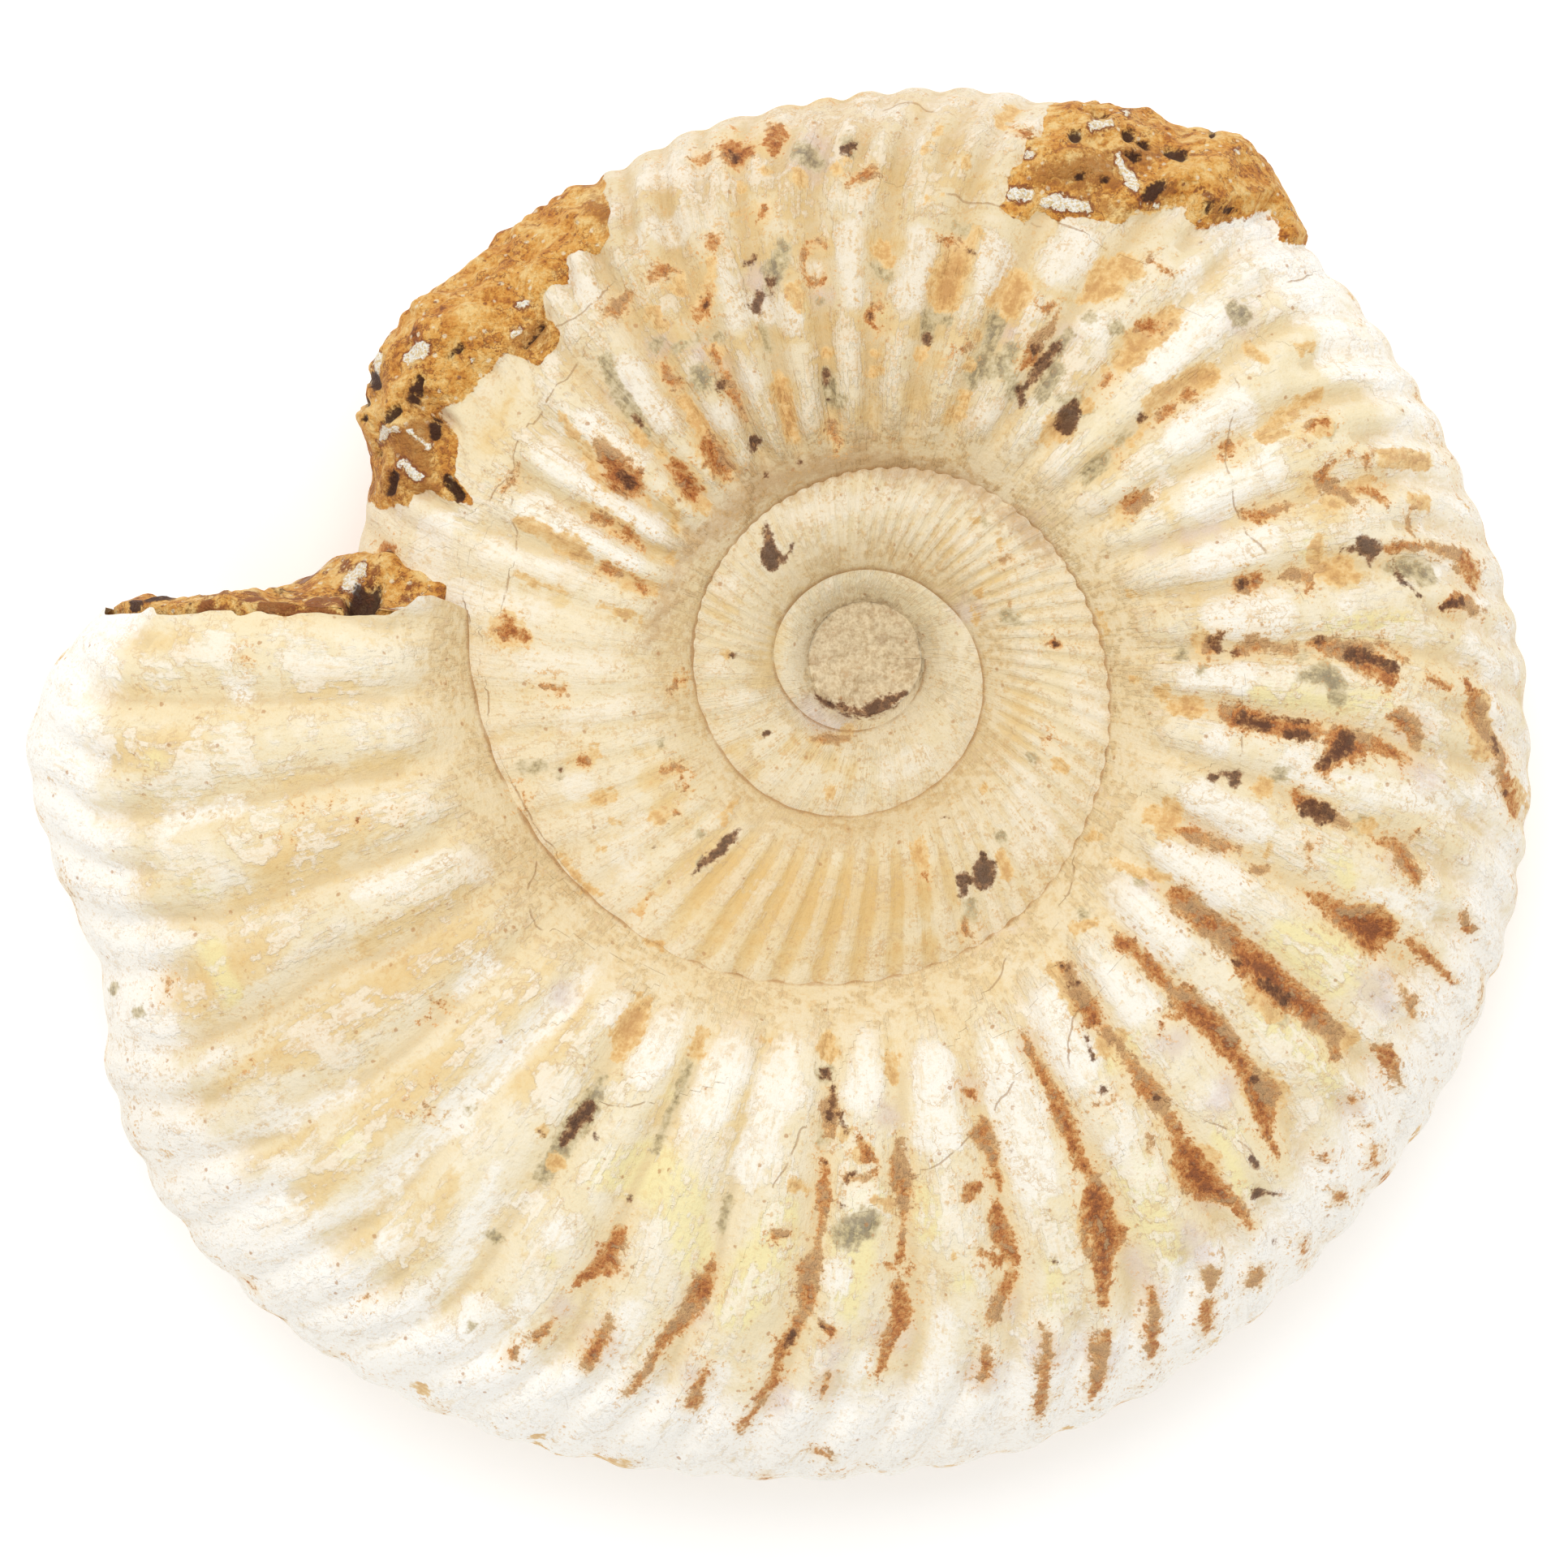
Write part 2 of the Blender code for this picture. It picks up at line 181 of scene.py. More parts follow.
# Patches low on the rim: (kind, their size in mm, how strongly they come, seed of their noise)
VENTER_MARKS = [("tan", 8.0, 1.5, 71), ("ochre", 3.2, 1.2, 72), ("rust", 2.6, 1.0, 73)]
# Painted light: how much the rim is whitened to undo its shade where it turns away from the key light, as
# (spiral angle, share)
PAINTED_RIM_LIGHT = [
    (175, 0.8), (205, 0.9), (225, 1), (320, 1), (345, 0.5), (370, 0.4), (400, 0.6), (430, 0.4),
    (540, 0.4),
]
# Painted shade, as (spiral angle, share): how dull the whole shell is made, darkest on the top of the last
# whorl where the key light falls strongest; the same share sets how much tan lace shows
PAINTED_SHADE_AND_LACE = [
    (175, 0), (200, 0.15), (212, 0.4), (224, 0.1), (242, 0), (262, 0.1), (300, 0.05), (340, 0.2),
    (372, 0.25),
    (385, 0), (408, 0.05), (420, 0.5), (440, 0.8), (480, 0.9), (500, 0.3), (520, 0.1), (540, 0.3),
    (600, 0.3),
    (640, 0.65), (700, 0.35), (1060, 0.4), (1120, 0), (1230, 0), (1290, 0.4), (1440, 0.4),
]
# The smooth shell beside the rock, without ribs: direction, mm, half width
SMOOTH_SHELL = [(139, 35.5, 1.6), (146, 35.3, 2.6), (153, 34.4, 2.2), (158, 33.4, 1.2)]
# Stains, each a stroke through points of (direction, mm from the axis, half width in mm)
STAINS = {
    "rust": [
        [(243.2, 62, .5)], [(244.2, 60, .6), (244.8, 58.2, .3)], [(245.4, 54.8, .5), (246.9, 52.5, 1.1),
        (246.8, 49.6, .5)], [(248.5, 60.5, .6), (248.8, 58.5, .9), (248.9, 56.6, .4)],
        [(257.1, 60.8, .7),
        (257.4, 57.6, .3)], [(252.2, 61.4, .3), (253, 59.4, .5), (253.5, 57, .6), (254.6, 55, .9),
        (255.6, 52.4, 1), (255.8, 50.2, .5)], [(260.8, 62, .4), (261.8, 60.3, .5), (262.8, 58, .5),
        (263.2, 56, .8), (264.2, 53.8, .6), (264.9, 52.2, .9), (265, 50.4, .9), (264.9, 49, 1.1),
        (265.5, 47.4, .5), (265.7, 45, .4), (265.6, 42.8, .6), (265.6, 40.4, .4)], [(265.8, 38, .6),
        (265.6, 36, 1), (265.8, 34.6, .3)], [(266, 53, .3), (267.1, 53.6, .5)], [(266.7, 59, .2),
        (267.1, 57.2, .3)], [(260.6, 46.2, .3), (261.4, 46.4, .6), (262.4, 46.4, .4)],
        [(266.5, 63.6, .3),
        (267.3, 63.6, .4)], [(268, 41.6, .4), (270, 41.4, .5), (271, 41, .4)], [(271.4, 40.1, .3),
        (270.4, 39.8, .6), (269.4, 38.6, .5)], [(271, 57, .2), (271.5, 56.2, .5), (272.1, 54.4, .6),
        (272.9, 53.2, .9), (273.4, 51.8, 1), (273.1, 50.2, .8)], [(272.4, 48.6, .5), (273.3, 48.6, .5),
        (273.7, 46.8, .4), (274, 44.8, .4), (274.2, 43, .8), (274, 41.2, 1), (273.9, 40, .8),
        (274.3, 38.6, .3)], [(274, 49.3, .4)], [(279.4, 58, .4), (279.9, 56.8, .6), (280, 55.8, .5)],
        [(281, 53.4, .7), (282.3, 52.2, .8), (283.4, 50.8, .5)], [(280.8, 43.7, .7), (281.5, 43.2, .8)],
        [(281, 48.4, .4), (282.4, 49.2, .5), (283.8, 49.4, .8), (283.4, 47.6, 1), (283.3, 46, .7),
        (284.1, 44.4, .3), (284.4, 43, .5), (284.4, 41, .6), (283.9, 39.2, 1.1), (284.4, 38.1, .4)],
        [(283.8, 35.6, .6)], [(283, 61.8, .3), (283.6, 60.4, .5), (284, 58.8, .5), (284.9, 56.8, .6),
        (284.9, 55.2, .4)], [(287, 61.8, .3), (288, 60, .6), (288.9, 58, .7), (290, 56.8, .3)],
        [(290.5, 54.8, .5), (291, 53, .8), (291.8, 51.5, 1.2), (293, 50.3, 1.4), (292.6, 48.6, 1.4),
        (293.4, 47, 1.3), (293.9, 45.6, .7), (293.3, 44, .7), (293.4, 42, .7), (293.4, 40, .9),
        (293.5, 38.2, .6), (293.4, 36, .5), (293.1, 34, .6), (293, 32.7, .3)], [(292.3, 60.3, .5),
        (293.1, 58.6, .7), (294, 57.2, .6), (294.4, 55.2, .3)], [(290.6, 50.2, .4), (291.4, 48.8, .6)],
        [(296.6, 60.8, .2), (297.4, 59.4, .6), (298.1, 58.2, .6)], [(298.7, 57.4, .4),
        (299.3, 56.2, .9)],
        [(301.5, 58.8, .3), (302.7, 58.3, .6)], [(306, 59.3, .2), (306.9, 58.4, .4)],
        [(311.5, 57.2, .5)],
        [(312.7, 54.3, .5)], [(304.3, 54.4, .4), (304.1, 52, .8), (303, 50.4, 1.5), (302.7, 49, 1.6),
        (303, 47.2, 1.1), (303.4, 45.4, .6), (303.6, 44, .6), (303.6, 42.4, .9), (303.4, 41, 1.1),
        (303.4, 39.4, .6), (303.5, 37.6, .4), (303, 35.6, .6)], [(300.8, 34, .3), (302.4, 34.2, .9),
        (302.6, 32.4, .9), (302.9, 30.8, .7), (303.2, 29.2, .6)], [(297.5, 40.3, .3), (298.8, 40.4, .4),
        (300.2, 40.2, .3)], [(300, 45.3, .25), (301.3, 43.9, .15)], [(309.8, 51.4, .2),
        (310.4, 49.6, .6),
        (311.5, 48.4, 1.2), (312.6, 47.2, 1.6), (312.7, 45.6, 1), (313, 44, .8), (313.3, 42.4, 1.2),
        (313.6, 41, 1.2), (313.3, 39.4, 1.1), (313.3, 37.6, 1.3), (313, 36, .6), (312.9, 34.2, .8),
        (312.9, 32.2, .6), (312.2, 30.5, .9), (311, 30.4, .3)], [(308.2, 38, .2), (310, 37.4, .3),
        (311.3, 38.2, .3)], [(315.4, 57.3, .3), (316.3, 56.4, .4)], [(317.2, 54.9, .3)],
        [(317.9, 52.6, .4)], [(321.6, 54.6, .3), (322.3, 53.4, .5), (322.9, 52.1, .8), (322.6, 51, .3)],
        [(320, 49.3, .5), (321.6, 48.4, .7), (321.4, 46.4, 1.2), (321.8, 44.4, 1.3), (321.5, 42.6, 1.5),
        (321.8, 41, 1.6), (321.9, 39.4, 1.5), (322.2, 37.8, 1.1), (322.5, 36.2, 1.2), (322.5, 34, 1.1),
        (322.8, 32, 1.2), (322.8, 31, .7)], [(326.9, 52.2, .4), (327.9, 51.3, .7), (328.6, 50.2, .3)],
        [(331.3, 53.4, .3), (331.8, 51.8, .5), (332.6, 49, .4)], [(329.6, 47.4, .3), (331, 46.4, 1.2),
        (332, 46.2, 1.9), (331.9, 44.8, 1.6), (331.9, 43.4, 1.1), (332.2, 41.4, .7), (332.2, 40, .3)],
        [(332.4, 46, .8), (334.4, 45.7, .3), (333.4, 46.8, .4)], [(332.4, 36.4, .4), (331.7, 35.6, .6)],
        [(333.2, 33.6, .3), (332.3, 31.6, .6), (331.9, 29.4, .6), (331.7, 28.3, .4)], [(336, 38.7, .3),
        (337.2, 38.6, .4), (338, 39, .15)], [(335.9, 52.8, .4), (336.7, 51.8, .4)], [(338.3, 47.4, .7),
        (339.1, 46.6, .9), (340.2, 45.8, .9), (340.9, 45, .5), (340.3, 44, .4)], [(340.6, 46, .4),
        (342.6, 46.2, .25)], [(341, 40.6, .6), (341.5, 39.4, .9), (342.3, 36.4, .8)], [(346.2, 54, .3),
        (348, 53, .6), (350, 51.6, .6), (351.8, 51.2, .7), (353.4, 50, .8), (355.6, 49, .8),
        (357.6, 48, .4)], [(349.4, 44.2, .4), (350.2, 42.6, .7), (350.6, 41, .9), (350, 39, 1.7),
        (348.4, 38.2, 1.1), (347, 37.8, .8)], [(351, 44.8, .5), (352.6, 44.3, .7), (353.8, 43, .9),
        (354.4, 42.6, .4)], [(357.2, 46.6, .4), (358.2, 45.2, .3)], [(350.8, 36.6, .8),
        (350.6, 34.6, 1),
        (350.8, 32.2, 1), (351.1, 30.2, 1.2), (351.5, 28.8, .5)], [(356.4, 41.8, .3), (358.4, 42, .9),
        (359.4, 41, 1.3), (360.3, 39.8, 1.4), (361, 38.4, .9), (361.9, 36.6, .7), (362, 35.6, .4)],
        [(360, 43.2, .4), (361.6, 41.4, .4)], [(361.2, 34.2, .7), (362, 32.6, .4), (362.2, 31.3, .9),
        (361.2, 29.8, .5)], [(362.2, 27.6, .9), (364, 28.6, .4)], [(364, 49, .4), (365.2, 48.4, .7),
        (365.6, 47.2, .8), (365.3, 46.5, .3)], [(366.6, 49.4, .3), (368.6, 49, .8), (370, 48, .7),
        (371.2, 46, .4), (371.8, 44.2, .4), (371.9, 42.8, .5)], [(369.2, 36.1, .3), (370.5, 36, .7),
        (371.1, 35.1, .5), (371.2, 34, .2)], [(371.3, 31.9, .8), (371.2, 30.9, .9)], [(377.6, 41.3, .4),
        (379, 40.7, .6), (380.4, 40, .8), (381.5, 39.4, .7), (382.6, 40.6, .3), (383.3, 41.8, .2)],
        [(376.6, 43.3, .3), (378, 42.9, .6), (378.9, 42, .3)], [(373.2, 44.8, .3), (375.4, 45.2, .3)],
        [(380.8, 43, .3), (381.8, 43, .4)], [(379.8, 36.6, .3), (379.9, 34.4, .6), (380.6, 32.8, .6)],
        [(386.9, 41.2, .4), (387.9, 40.8, .3), (387.4, 39.8, .5)], [(390.2, 25.8, .6),
        (390.2, 24.6, .9)],
        [(390.2, 33.8, .6)], [(38.6, 25.9, .4)], [(39.4, 33.6, .7)], [(39.3, 31.8, .4),
        (39.4, 30.6, .4)],
        [(48, 36, .4), (49.2, 35.2, .8), (50.6, 34.4, .4)], [(49.2, 30, .4), (49.3, 29, .3)],
        [(51.6, 39, .3), (53.2, 39, .4), (54.4, 38.9, .3)], [(61.8, 32, .4), (62.8, 31.4, .5)],
        [(60.8, 31.6, .3), (60.6, 30.4, .4), (61.4, 29.2, .7), (61, 28, .9), (61.6, 26.6, .4)],
        [(71.4, 26.4, .4), (72.4, 25.7, .3)], [(75.8, 33.9, .2), (77.4, 34.6, .3), (79, 33.8, .3)],
        [(72.4, 43.6, .3), (74, 43.4, .3)], [(87.5, 29.6, .3), (87.7, 28.5, .3), (86.4, 28.3, .2),
        (88.6, 28.3, .3), (89.1, 27.4, .5)], [(85.4, 26.2, .2), (88, 26.5, .2)], [(95.3, 33.2, .2),
        (96.5, 33.9, .4), (98, 33.7, .4), (98.7, 32.4, .3), (98.9, 31.2, .4), (98, 30.3, .3),
        (96.4, 30.4, .2), (95.5, 31.6, .2)], [(89, 38.8, .5), (90.6, 38.3, .6), (92, 37.8, .3)],
        [(98.1, 18.8, .5), (97.3, 17.6, .5)], [(103, 41.6, .7), (104.4, 41.6, 1.2), (105.3, 41.5, .6)],
        [(107.2, 41.8, .4), (109, 42.1, .2)], [(102.7, 36.5, .5), (103.6, 36.1, .3)], [(99.3, 42.4, .9),
        (100.4, 41.4, .6)], [(110.2, 35.1, .8)], [(115.8, 34.6, .4), (117.6, 34.9, .7),
        (119.6, 34.6, .4)],
        [(122.8, 34.7, .4), (125, 34.6, .8), (127, 34.3, .4)], [(113.2, 31.4, .5), (114.9, 30.7, .6),
        (116.4, 30.5, .3)], [(116, 27.4, .4), (116.1, 26, .4), (116.3, 23.2, .5), (116.1, 21.4, .4)],
        [(124.3, 28.6, .4), (125, 27.6, .4), (124, 26.6, .5)], [(126, 21.4, .8), (126.4, 19.8, 1),
        (126.5, 18.6, .7)], [(134.3, 21.5, .8), (134.8, 20.3, .8), (135.8, 19, .8)], [(141, 27, .8),
        (141.9, 25.5, 1.2), (143.2, 24.2, 1.4), (143.4, 23, 1.1), (143.8, 22.3, .5)],
        [(151.6, 24.4, .4),
        (151.8, 23.2, .5)], [(151.9, 21.6, .5), (152.6, 20.4, .5)], [(160.7, 22, .5), (161, 20.8, .5)],
        [(161.7, 18.8, .5)], [(173.6, 29, .4), (175.4, 28.4, 1), (176.4, 27, .4)], [(151.4, 31.9, .2),
        (153.2, 31.6, .5), (155, 31.8, .2)], [(167.3, 39.2, .9), (169, 39.3, .6)], [(184.8, 26, .3),
        (185.8, 24.4, .3)], [(200, 24, .5)], [(219, 19.4, .3)], [(213.4, 17.3, .3), (216, 17.6, .2)],
        [(209.2, 18.4, .3), (210, 17, .4)], [(186.8, 15, .4), (189.6, 15.7, .3)], [(227.8, 26, .3)],
        [(285.6, 17.9, .3)], [(4, 15.6, .5), (5, 15.2, .3)], [(34.8, 13.7, .4)], [(21, 12.4, .3)],
        [(335.6, 15.8, .4)], [(290.4, 23.4, .4), (291.4, 22.4, .3)], [(236, 7.5, .2), (244, 7.2, .5),
        (252, 6.8, .4), (258, 6.4, .3)], [(201, 29.4, .1), (203, 29.5, .2)], [(180, 49.5, .3)],
        [(197.7, 48, .25)], [(197.8, 42.7, .3)], [(198.2, 38.9, .4)], [(194.8, 44.2, .25)],
        [(194.6, 46.6, .2)], [(204.8, 61.6, .3), (205.4, 61.8, .2)], [(219, 43.8, .4)],
        [(224.6, 50.8, .25)], [(225.6, 50, .3), (226.4, 50.1, .2)], [(232, 65.1, .3)],
        [(183.2, 33.6, .2)],
        [(213.1, 59, .15)], [(224.3, 48.6, .2)], [(219.5, 45.4, .3)], [(168.6, 38.4, .4)],
    ],
    "dark": [
        [(238.2, 45.6, .4), (238.1, 43.6, .7), (238.4, 42, .5)], [(239, 42.7, .4)], [(235.6, 45.9, .3)],
        [(240.6, 43.8, .25)], [(246.6, 47.2, .3)], [(263.6, 55.4, .4), (264, 54.4, .4)],
        [(265.6, 40.4, .3)], [(265.5, 37, .3), (265.9, 35.4, .4), (266, 34.2, .2)], [(266.6, 36.2, .3),
        (268, 38, .2)], [(266.4, 53.4, .3)], [(264.6, 33.2, .6)], [(267.9, 43.8, .3)], [(267.6, 42, .2),
        (269, 41, .3)], [(273, 50.4, .4)], [(299, 39.4, .5), (299.8, 39.5, .2)], [(299.8, 37, .15),
        (300.4, 35, .2)], [(300.6, 34.4, .15), (303, 34.8, .2)], [(301.8, 30.9, .2), (303.4, 30.6, .3)],
        [(303.2, 29.2, .35)], [(306.2, 52.9, .5), (307.6, 53.9, .15)], [(307.7, 51, .5),
        (307.8, 50, .2)],
        [(305.2, 57.2, .3)], [(303.6, 42.2, .3)], [(312.8, 46, .4)], [(321, 43.4, .6), (320.9, 41, .5)],
        [(321, 38.4, .5)], [(340.8, 38.6, .6), (341.5, 39.2, .8), (341.6, 37.6, .9), (340.6, 37.3, .4)],
        [(341.2, 31.2, .4), (343, 31.4, .5), (342.2, 30, .3)], [(341.2, 29.4, .5)], [(348.2, 52.6, .4)],
        [(347.4, 37.6, .6), (349.2, 38.8, .8), (350.6, 39.2, .9)], [(350.2, 36, .5), (349.8, 34.4, .5)],
        [(350.4, 32.4, .6), (350.8, 30.6, .7)], [(351.9, 36, .2), (352, 32.6, .2)], [(359, 42.4, .6),
        (360.2, 40.4, .6), (360.6, 39, .6)], [(362.4, 36.4, .4)], [(361, 29.6, .4)], [(361.4, 28.4, .4),
        (362.6, 28.1, .7), (364, 28.7, .3)], [(365.4, 47.6, .5), (365.2, 46.5, .3)], [(370.6, 41.4, .3),
        (372, 41.6, .9), (373.2, 40.9, .7)], [(372.6, 40, .4), (373, 39.2, .2)], [(366.4, 44.6, .15),
        (368.4, 43.3, .25), (370.6, 43.2, .15)], [(371.3, 31.4, .4), (371.1, 30.7, .4)],
        [(351.6, 51, .3),
        (352.6, 50.8, .3)], [(41, 29.4, .5)], [(50.7, 26.4, .4), (50.2, 25.4, 1), (49.2, 24.6, .9)],
        [(58.4, 29.4, .4), (58.9, 27.4, .5), (59.3, 25.6, .4)], [(61, 28.3, .5)], [(60, 24.8, .4),
        (58.6, 24, .4)], [(75, 33.6, .25), (76.2, 33.9, .2)], [(79.1, 26.2, .6)], [(88.9, 27.5, .3)],
        [(97.6, 22.9, .5), (98.2, 22.2, .3)], [(98.1, 21, .25)], [(104, 31.2, .4), (104, 30.2, .3)],
        [(106.3, 30.3, .5), (107.1, 29.4, .5)], [(105.2, 33.4, .3), (107.2, 32.8, .2)],
        [(107.7, 31, .15),
        (108.3, 29.8, .15)], [(117.9, 24.8, .5)], [(116.6, 19.3, .5), (117.4, 19.1, .5)],
        [(116.3, 22.4, .3)], [(114, 31, .3)], [(133.5, 26.8, .3), (133.7, 25.8, .3)],
        [(142.6, 24.4, .5),
        (143.6, 23.4, .5)], [(152.6, 31.7, .3)], [(91.2, 41, .4), (92.4, 40.4, .4)],
        [(104.6, 41.4, .5)],
        [(118, 16.6, .3)], [(108.4, 16.6, .3), (107.2, 16.3, .2)], [(231.4, 22, .15), (231.8, 20.9, .4),
        (232.8, 19.3, .5), (233.4, 17.6, .45), (233.7, 16.8, .15)], [(293, 20.3, .4),
        (294.2, 19.2, .6)],
        [(295, 19.7, .3), (297, 19.7, .3)], [(298.4, 20, .9), (299.8, 19.4, 1), (301.2, 18.4, .3)],
        [(125, 13.6, .2), (127, 12.8, .35), (129.5, 12, .5), (132, 11.1, .9), (134, 10.6, .7),
        (136.5, 10.4, .3)], [(122.5, 10.7, .3), (126, 10.3, .2), (130, 10.3, .4)], [(200.2, 25.9, .4)],
        [(220.6, 20.5, .2)], [(222, 22.6, .15)], [(217.6, 9.8, .25)], [(296, 14.3, .15),
        (298, 14.3, .2)],
        [(178.4, 10.5, .3)], [(4.4, 15.5, .3)], [(287.4, 50.4, .15), (288, 50.6, .15)],
        [(296.6, 25.9, .15)], [(217, 4.8, .15), (226, 4.7, .3), (236, 4.6, .25)], [(242, 4.3, .3),
        (256, 4.3, .4), (272, 4.3, .5), (290, 4, .6), (308, 4, .5), (322, 4.3, .25)],
        [(198.2, 38.9, .2)],
        [(197.8, 42.7, .15)], [(219, 43.8, .2)], [(226.5, 35.3, .1)], [(234.9, 32.6, .15)],
        [(286.8, 41.1, .2)],
    ],
    "ochre": [
        [(212.4, 29.2, .25), (215, 28.9, .3), (219.6, 28.8, .4), (221.4, 28.3, .2)], [(232.6, 28.7, .3),
        (234.6, 28.1, .25)], [(238.4, 47.2, .8)], [(235.6, 45.6, .5)], [(238.2, 37.6, .5),
        (237.6, 35.4, 1.4), (237.2, 33, 1)], [(246.7, 34, .8), (246.6, 32.4, .5)], [(256, 31.4, .4)],
        [(262.4, 42.4, .6), (263.6, 42.6, .3)], [(264.6, 31.4, .9), (264.5, 30.4, .6)],
        [(269.8, 39.4, .9)],
        [(267.6, 38, .6)], [(273.8, 33.4, .6), (273.9, 31.4, .4)], [(272.6, 43.6, .8),
        (271.4, 43.2, .4)],
        [(278.6, 48, .4)], [(292.6, 49, 1.9)], [(302, 36.4, 1), (304.6, 36.4, .6)], [(301.4, 32.6, .8),
        (301.6, 29.4, .8)], [(303, 48.6, 2)], [(311, 28, .4), (308, 27.4, .3)], [(312.6, 47.4, 2)],
        [(319.4, 43, 1), (319.8, 40.6, .9)], [(324.4, 30, .4), (322.4, 27.6, .6), (320.2, 25.4, .3)],
        [(321.6, 49, 1.2)], [(332, 45.6, 2.2)], [(331.6, 27.6, 1.2), (334, 27.4, .9)],
        [(331.4, 26, .8)],
        [(334, 35.8, .2), (335.4, 35.6, .2)], [(341.6, 42.4, .7)], [(342.4, 33.6, .9)],
        [(346.8, 53.9, .6),
        (349, 53, .6)], [(352, 50, 1.2), (356, 49, 1)], [(351.4, 26.8, .9), (351.4, 25, .8)],
        [(362.4, 27.2, 1.1)], [(370, 38.2, 1.1), (371.2, 37.6, 1.2)], [(372.8, 37, .9),
        (374.8, 37.4, .6)],
        [(369.6, 39.6, .6), (371.4, 39.4, .6)], [(375.6, 46.4, .7), (376.2, 45.4, .4)],
        [(379.6, 47.2, .8),
        (380.6, 46, .9), (381.2, 44.4, .7)], [(379.4, 42.6, .7), (378.4, 39.6, .8)],
        [(380.6, 38.4, .6)],
        [(387, 40.7, 1)], [(380, 34, .8)], [(388.2, 38, .7), (389.2, 36.6, .7), (390.2, 38.6, .7),
        (390.3, 42, .5)], [(395.3, 42.6, .5), (394.8, 43.6, .3)], [(396.4, 39.8, .3), (399, 39.5, .5)],
        [(39.4, 35.6, 1.2), (40.4, 34.4, 1.1), (41.2, 32.4, .7), (42, 30.8, .8), (40.8, 29.6, .4),
        (39.4, 28.6, .4), (39.1, 27, .3)], [(30.4, 23.6, .5)], [(48, 36.8, 1), (49, 35, 1.3),
        (49.2, 33, 1.2), (49, 31.6, .9)], [(50.2, 30.2, .4)], [(48.6, 27, .5)], [(49.8, 24, 1.4),
        (50.4, 22.9, .6)], [(54.4, 37.6, .6), (56.6, 37.8, 1), (58.6, 36.6, .9), (58, 35, 1.1),
        (56, 35.4, .8)], [(59, 33.6, .5)], [(68, 33, .9), (67.4, 31.6, 1.5), (67.4, 30.4, 1)],
        [(69.6, 32, .6), (70.8, 30, .3)], [(70.6, 27.4, .5)], [(70.4, 25, .6)], [(69.4, 22.4, .6)],
        [(69.4, 20.8, .9)], [(75.4, 35.4, .4), (76.4, 33.4, 1.1), (77.4, 31.8, 1.4), (77.4, 29.6, 1.4),
        (79.4, 29.4, .6)], [(79.4, 25, .7)], [(76.6, 31, .8)], [(74.8, 45.6, .4), (75.6, 44.2, .4)],
        [(80.4, 37.5, .3), (82, 37, .4)], [(78.5, 40.2, .4)], [(81.8, 42.6, .3), (83.4, 40.6, .3)],
        [(87.8, 33, .8), (86.6, 32, .5)], [(88.5, 24.6, .5)], [(88.4, 23, .7)], [(93.2, 38.9, .6),
        (92.2, 39.6, .3)], [(97.6, 38.8, .6)], [(96.8, 24.8, .6)], [(98, 18.4, .8), (97.2, 17.2, .5)],
        [(100.8, 30, .8), (100.4, 28.6, .6)], [(104.6, 39, .4)], [(101.4, 39.6, .5)], [(106.4, 37, .3)],
        [(106.8, 23.6, .6), (107.4, 22, 1), (107.2, 20.2, .8), (107.8, 18.8, .6)], [(111, 33.8, .5),
        (112.4, 32.4, .5), (113.6, 31.4, .8), (115.4, 30.6, .6)], [(117, 33, .5), (115.6, 34, .5)],
        [(116, 27.3, .8)], [(121.4, 32.4, .7), (121.8, 31, .6)], [(124.6, 28.2, .7)],
        [(124.4, 25.2, .7),
        (125, 23, .7), (126, 21.4, 1.1), (126.6, 20, 1.3), (126.5, 18.6, .9)], [(135, 26, .5),
        (135.4, 24.8, .4)], [(134.4, 23.3, .6)], [(134.4, 21.4, .9), (135, 20, 1), (136, 18.8, 1),
        (136, 17.6, .6)], [(141, 31.2, .3), (142.2, 29.8, .5), (142.4, 28.4, .6), (145, 26.4, .5),
        (146.2, 24.6, .5)], [(143.4, 21.6, .3), (144.8, 20.4, .3)], [(141.2, 20.4, .3), (143, 18.9, .4),
        (145, 18.2, .4)], [(151.2, 25.2, .5), (151.7, 23.4, .7), (152, 21.4, .7), (152.8, 20.2, .5)],
        [(151.6, 17.5, .3), (153.6, 17.1, .4)], [(156.6, 16.5, .3)], [(158.3, 29.6, .5),
        (158.5, 27.4, .6),
        (158.8, 25, .9), (160, 23.8, .7)], [(160.8, 22, .6), (161.2, 20.6, .6), (162, 18.8, .7),
        (162, 17.9, .5)], [(166.3, 28.3, .3), (167.2, 26.4, .4), (167.5, 24.8, .3)], [(168.7, 21.6, .3),
        (169.4, 18, .2)], [(174.6, 30, .5), (175.4, 28.4, 1.4), (176.6, 27, .6)], [(207.4, 24.4, .5),
        (208.4, 23, .5)], [(213.2, 24, .4)], [(217.6, 20.8, .6), (218.6, 20.2, .4)], [(209.2, 18, .5),
        (210, 17, .5)], [(199.4, 22.8, .5)], [(187, 15, .6)], [(228, 27, .4), (227.6, 25.6, .3)],
        [(228.4, 17, .3), (227.8, 15.6, .3)], [(286, 17.4, .5), (286.4, 15.8, .8)], [(303.6, 20.4, .6),
        (304.8, 19.2, .4)], [(17, 9.4, .2), (22, 9.5, .35), (28, 9.6, .2)], [(40.8, 14.3, .4)],
        [(51, 14.3, .3)], [(30.6, 10.6, .4)], [(312.7, 14, .3)], [(331, 18, .5), (332.4, 17.4, .4)],
        [(5.4, 19.2, .3), (8.6, 19.4, .5), (10.8, 19.2, .4)], [(216, 25.8, .3)], [(255.8, 11, .5)],
        [(178.2, 11, .5)], [(236.6, 7.8, .3), (246, 7.4, .4)], [(256, 6, .6)], [(168, 39.3, 1)],
        [(353.8, 24, .7)], [(355.6, 21.6, .5)], [(13, 22, .5)], [(322.6, 23.2, .7)],
        [(300.9, 36.6, .4)],
        [(307.8, 27.4, .4)],
    ],
    "grey": [
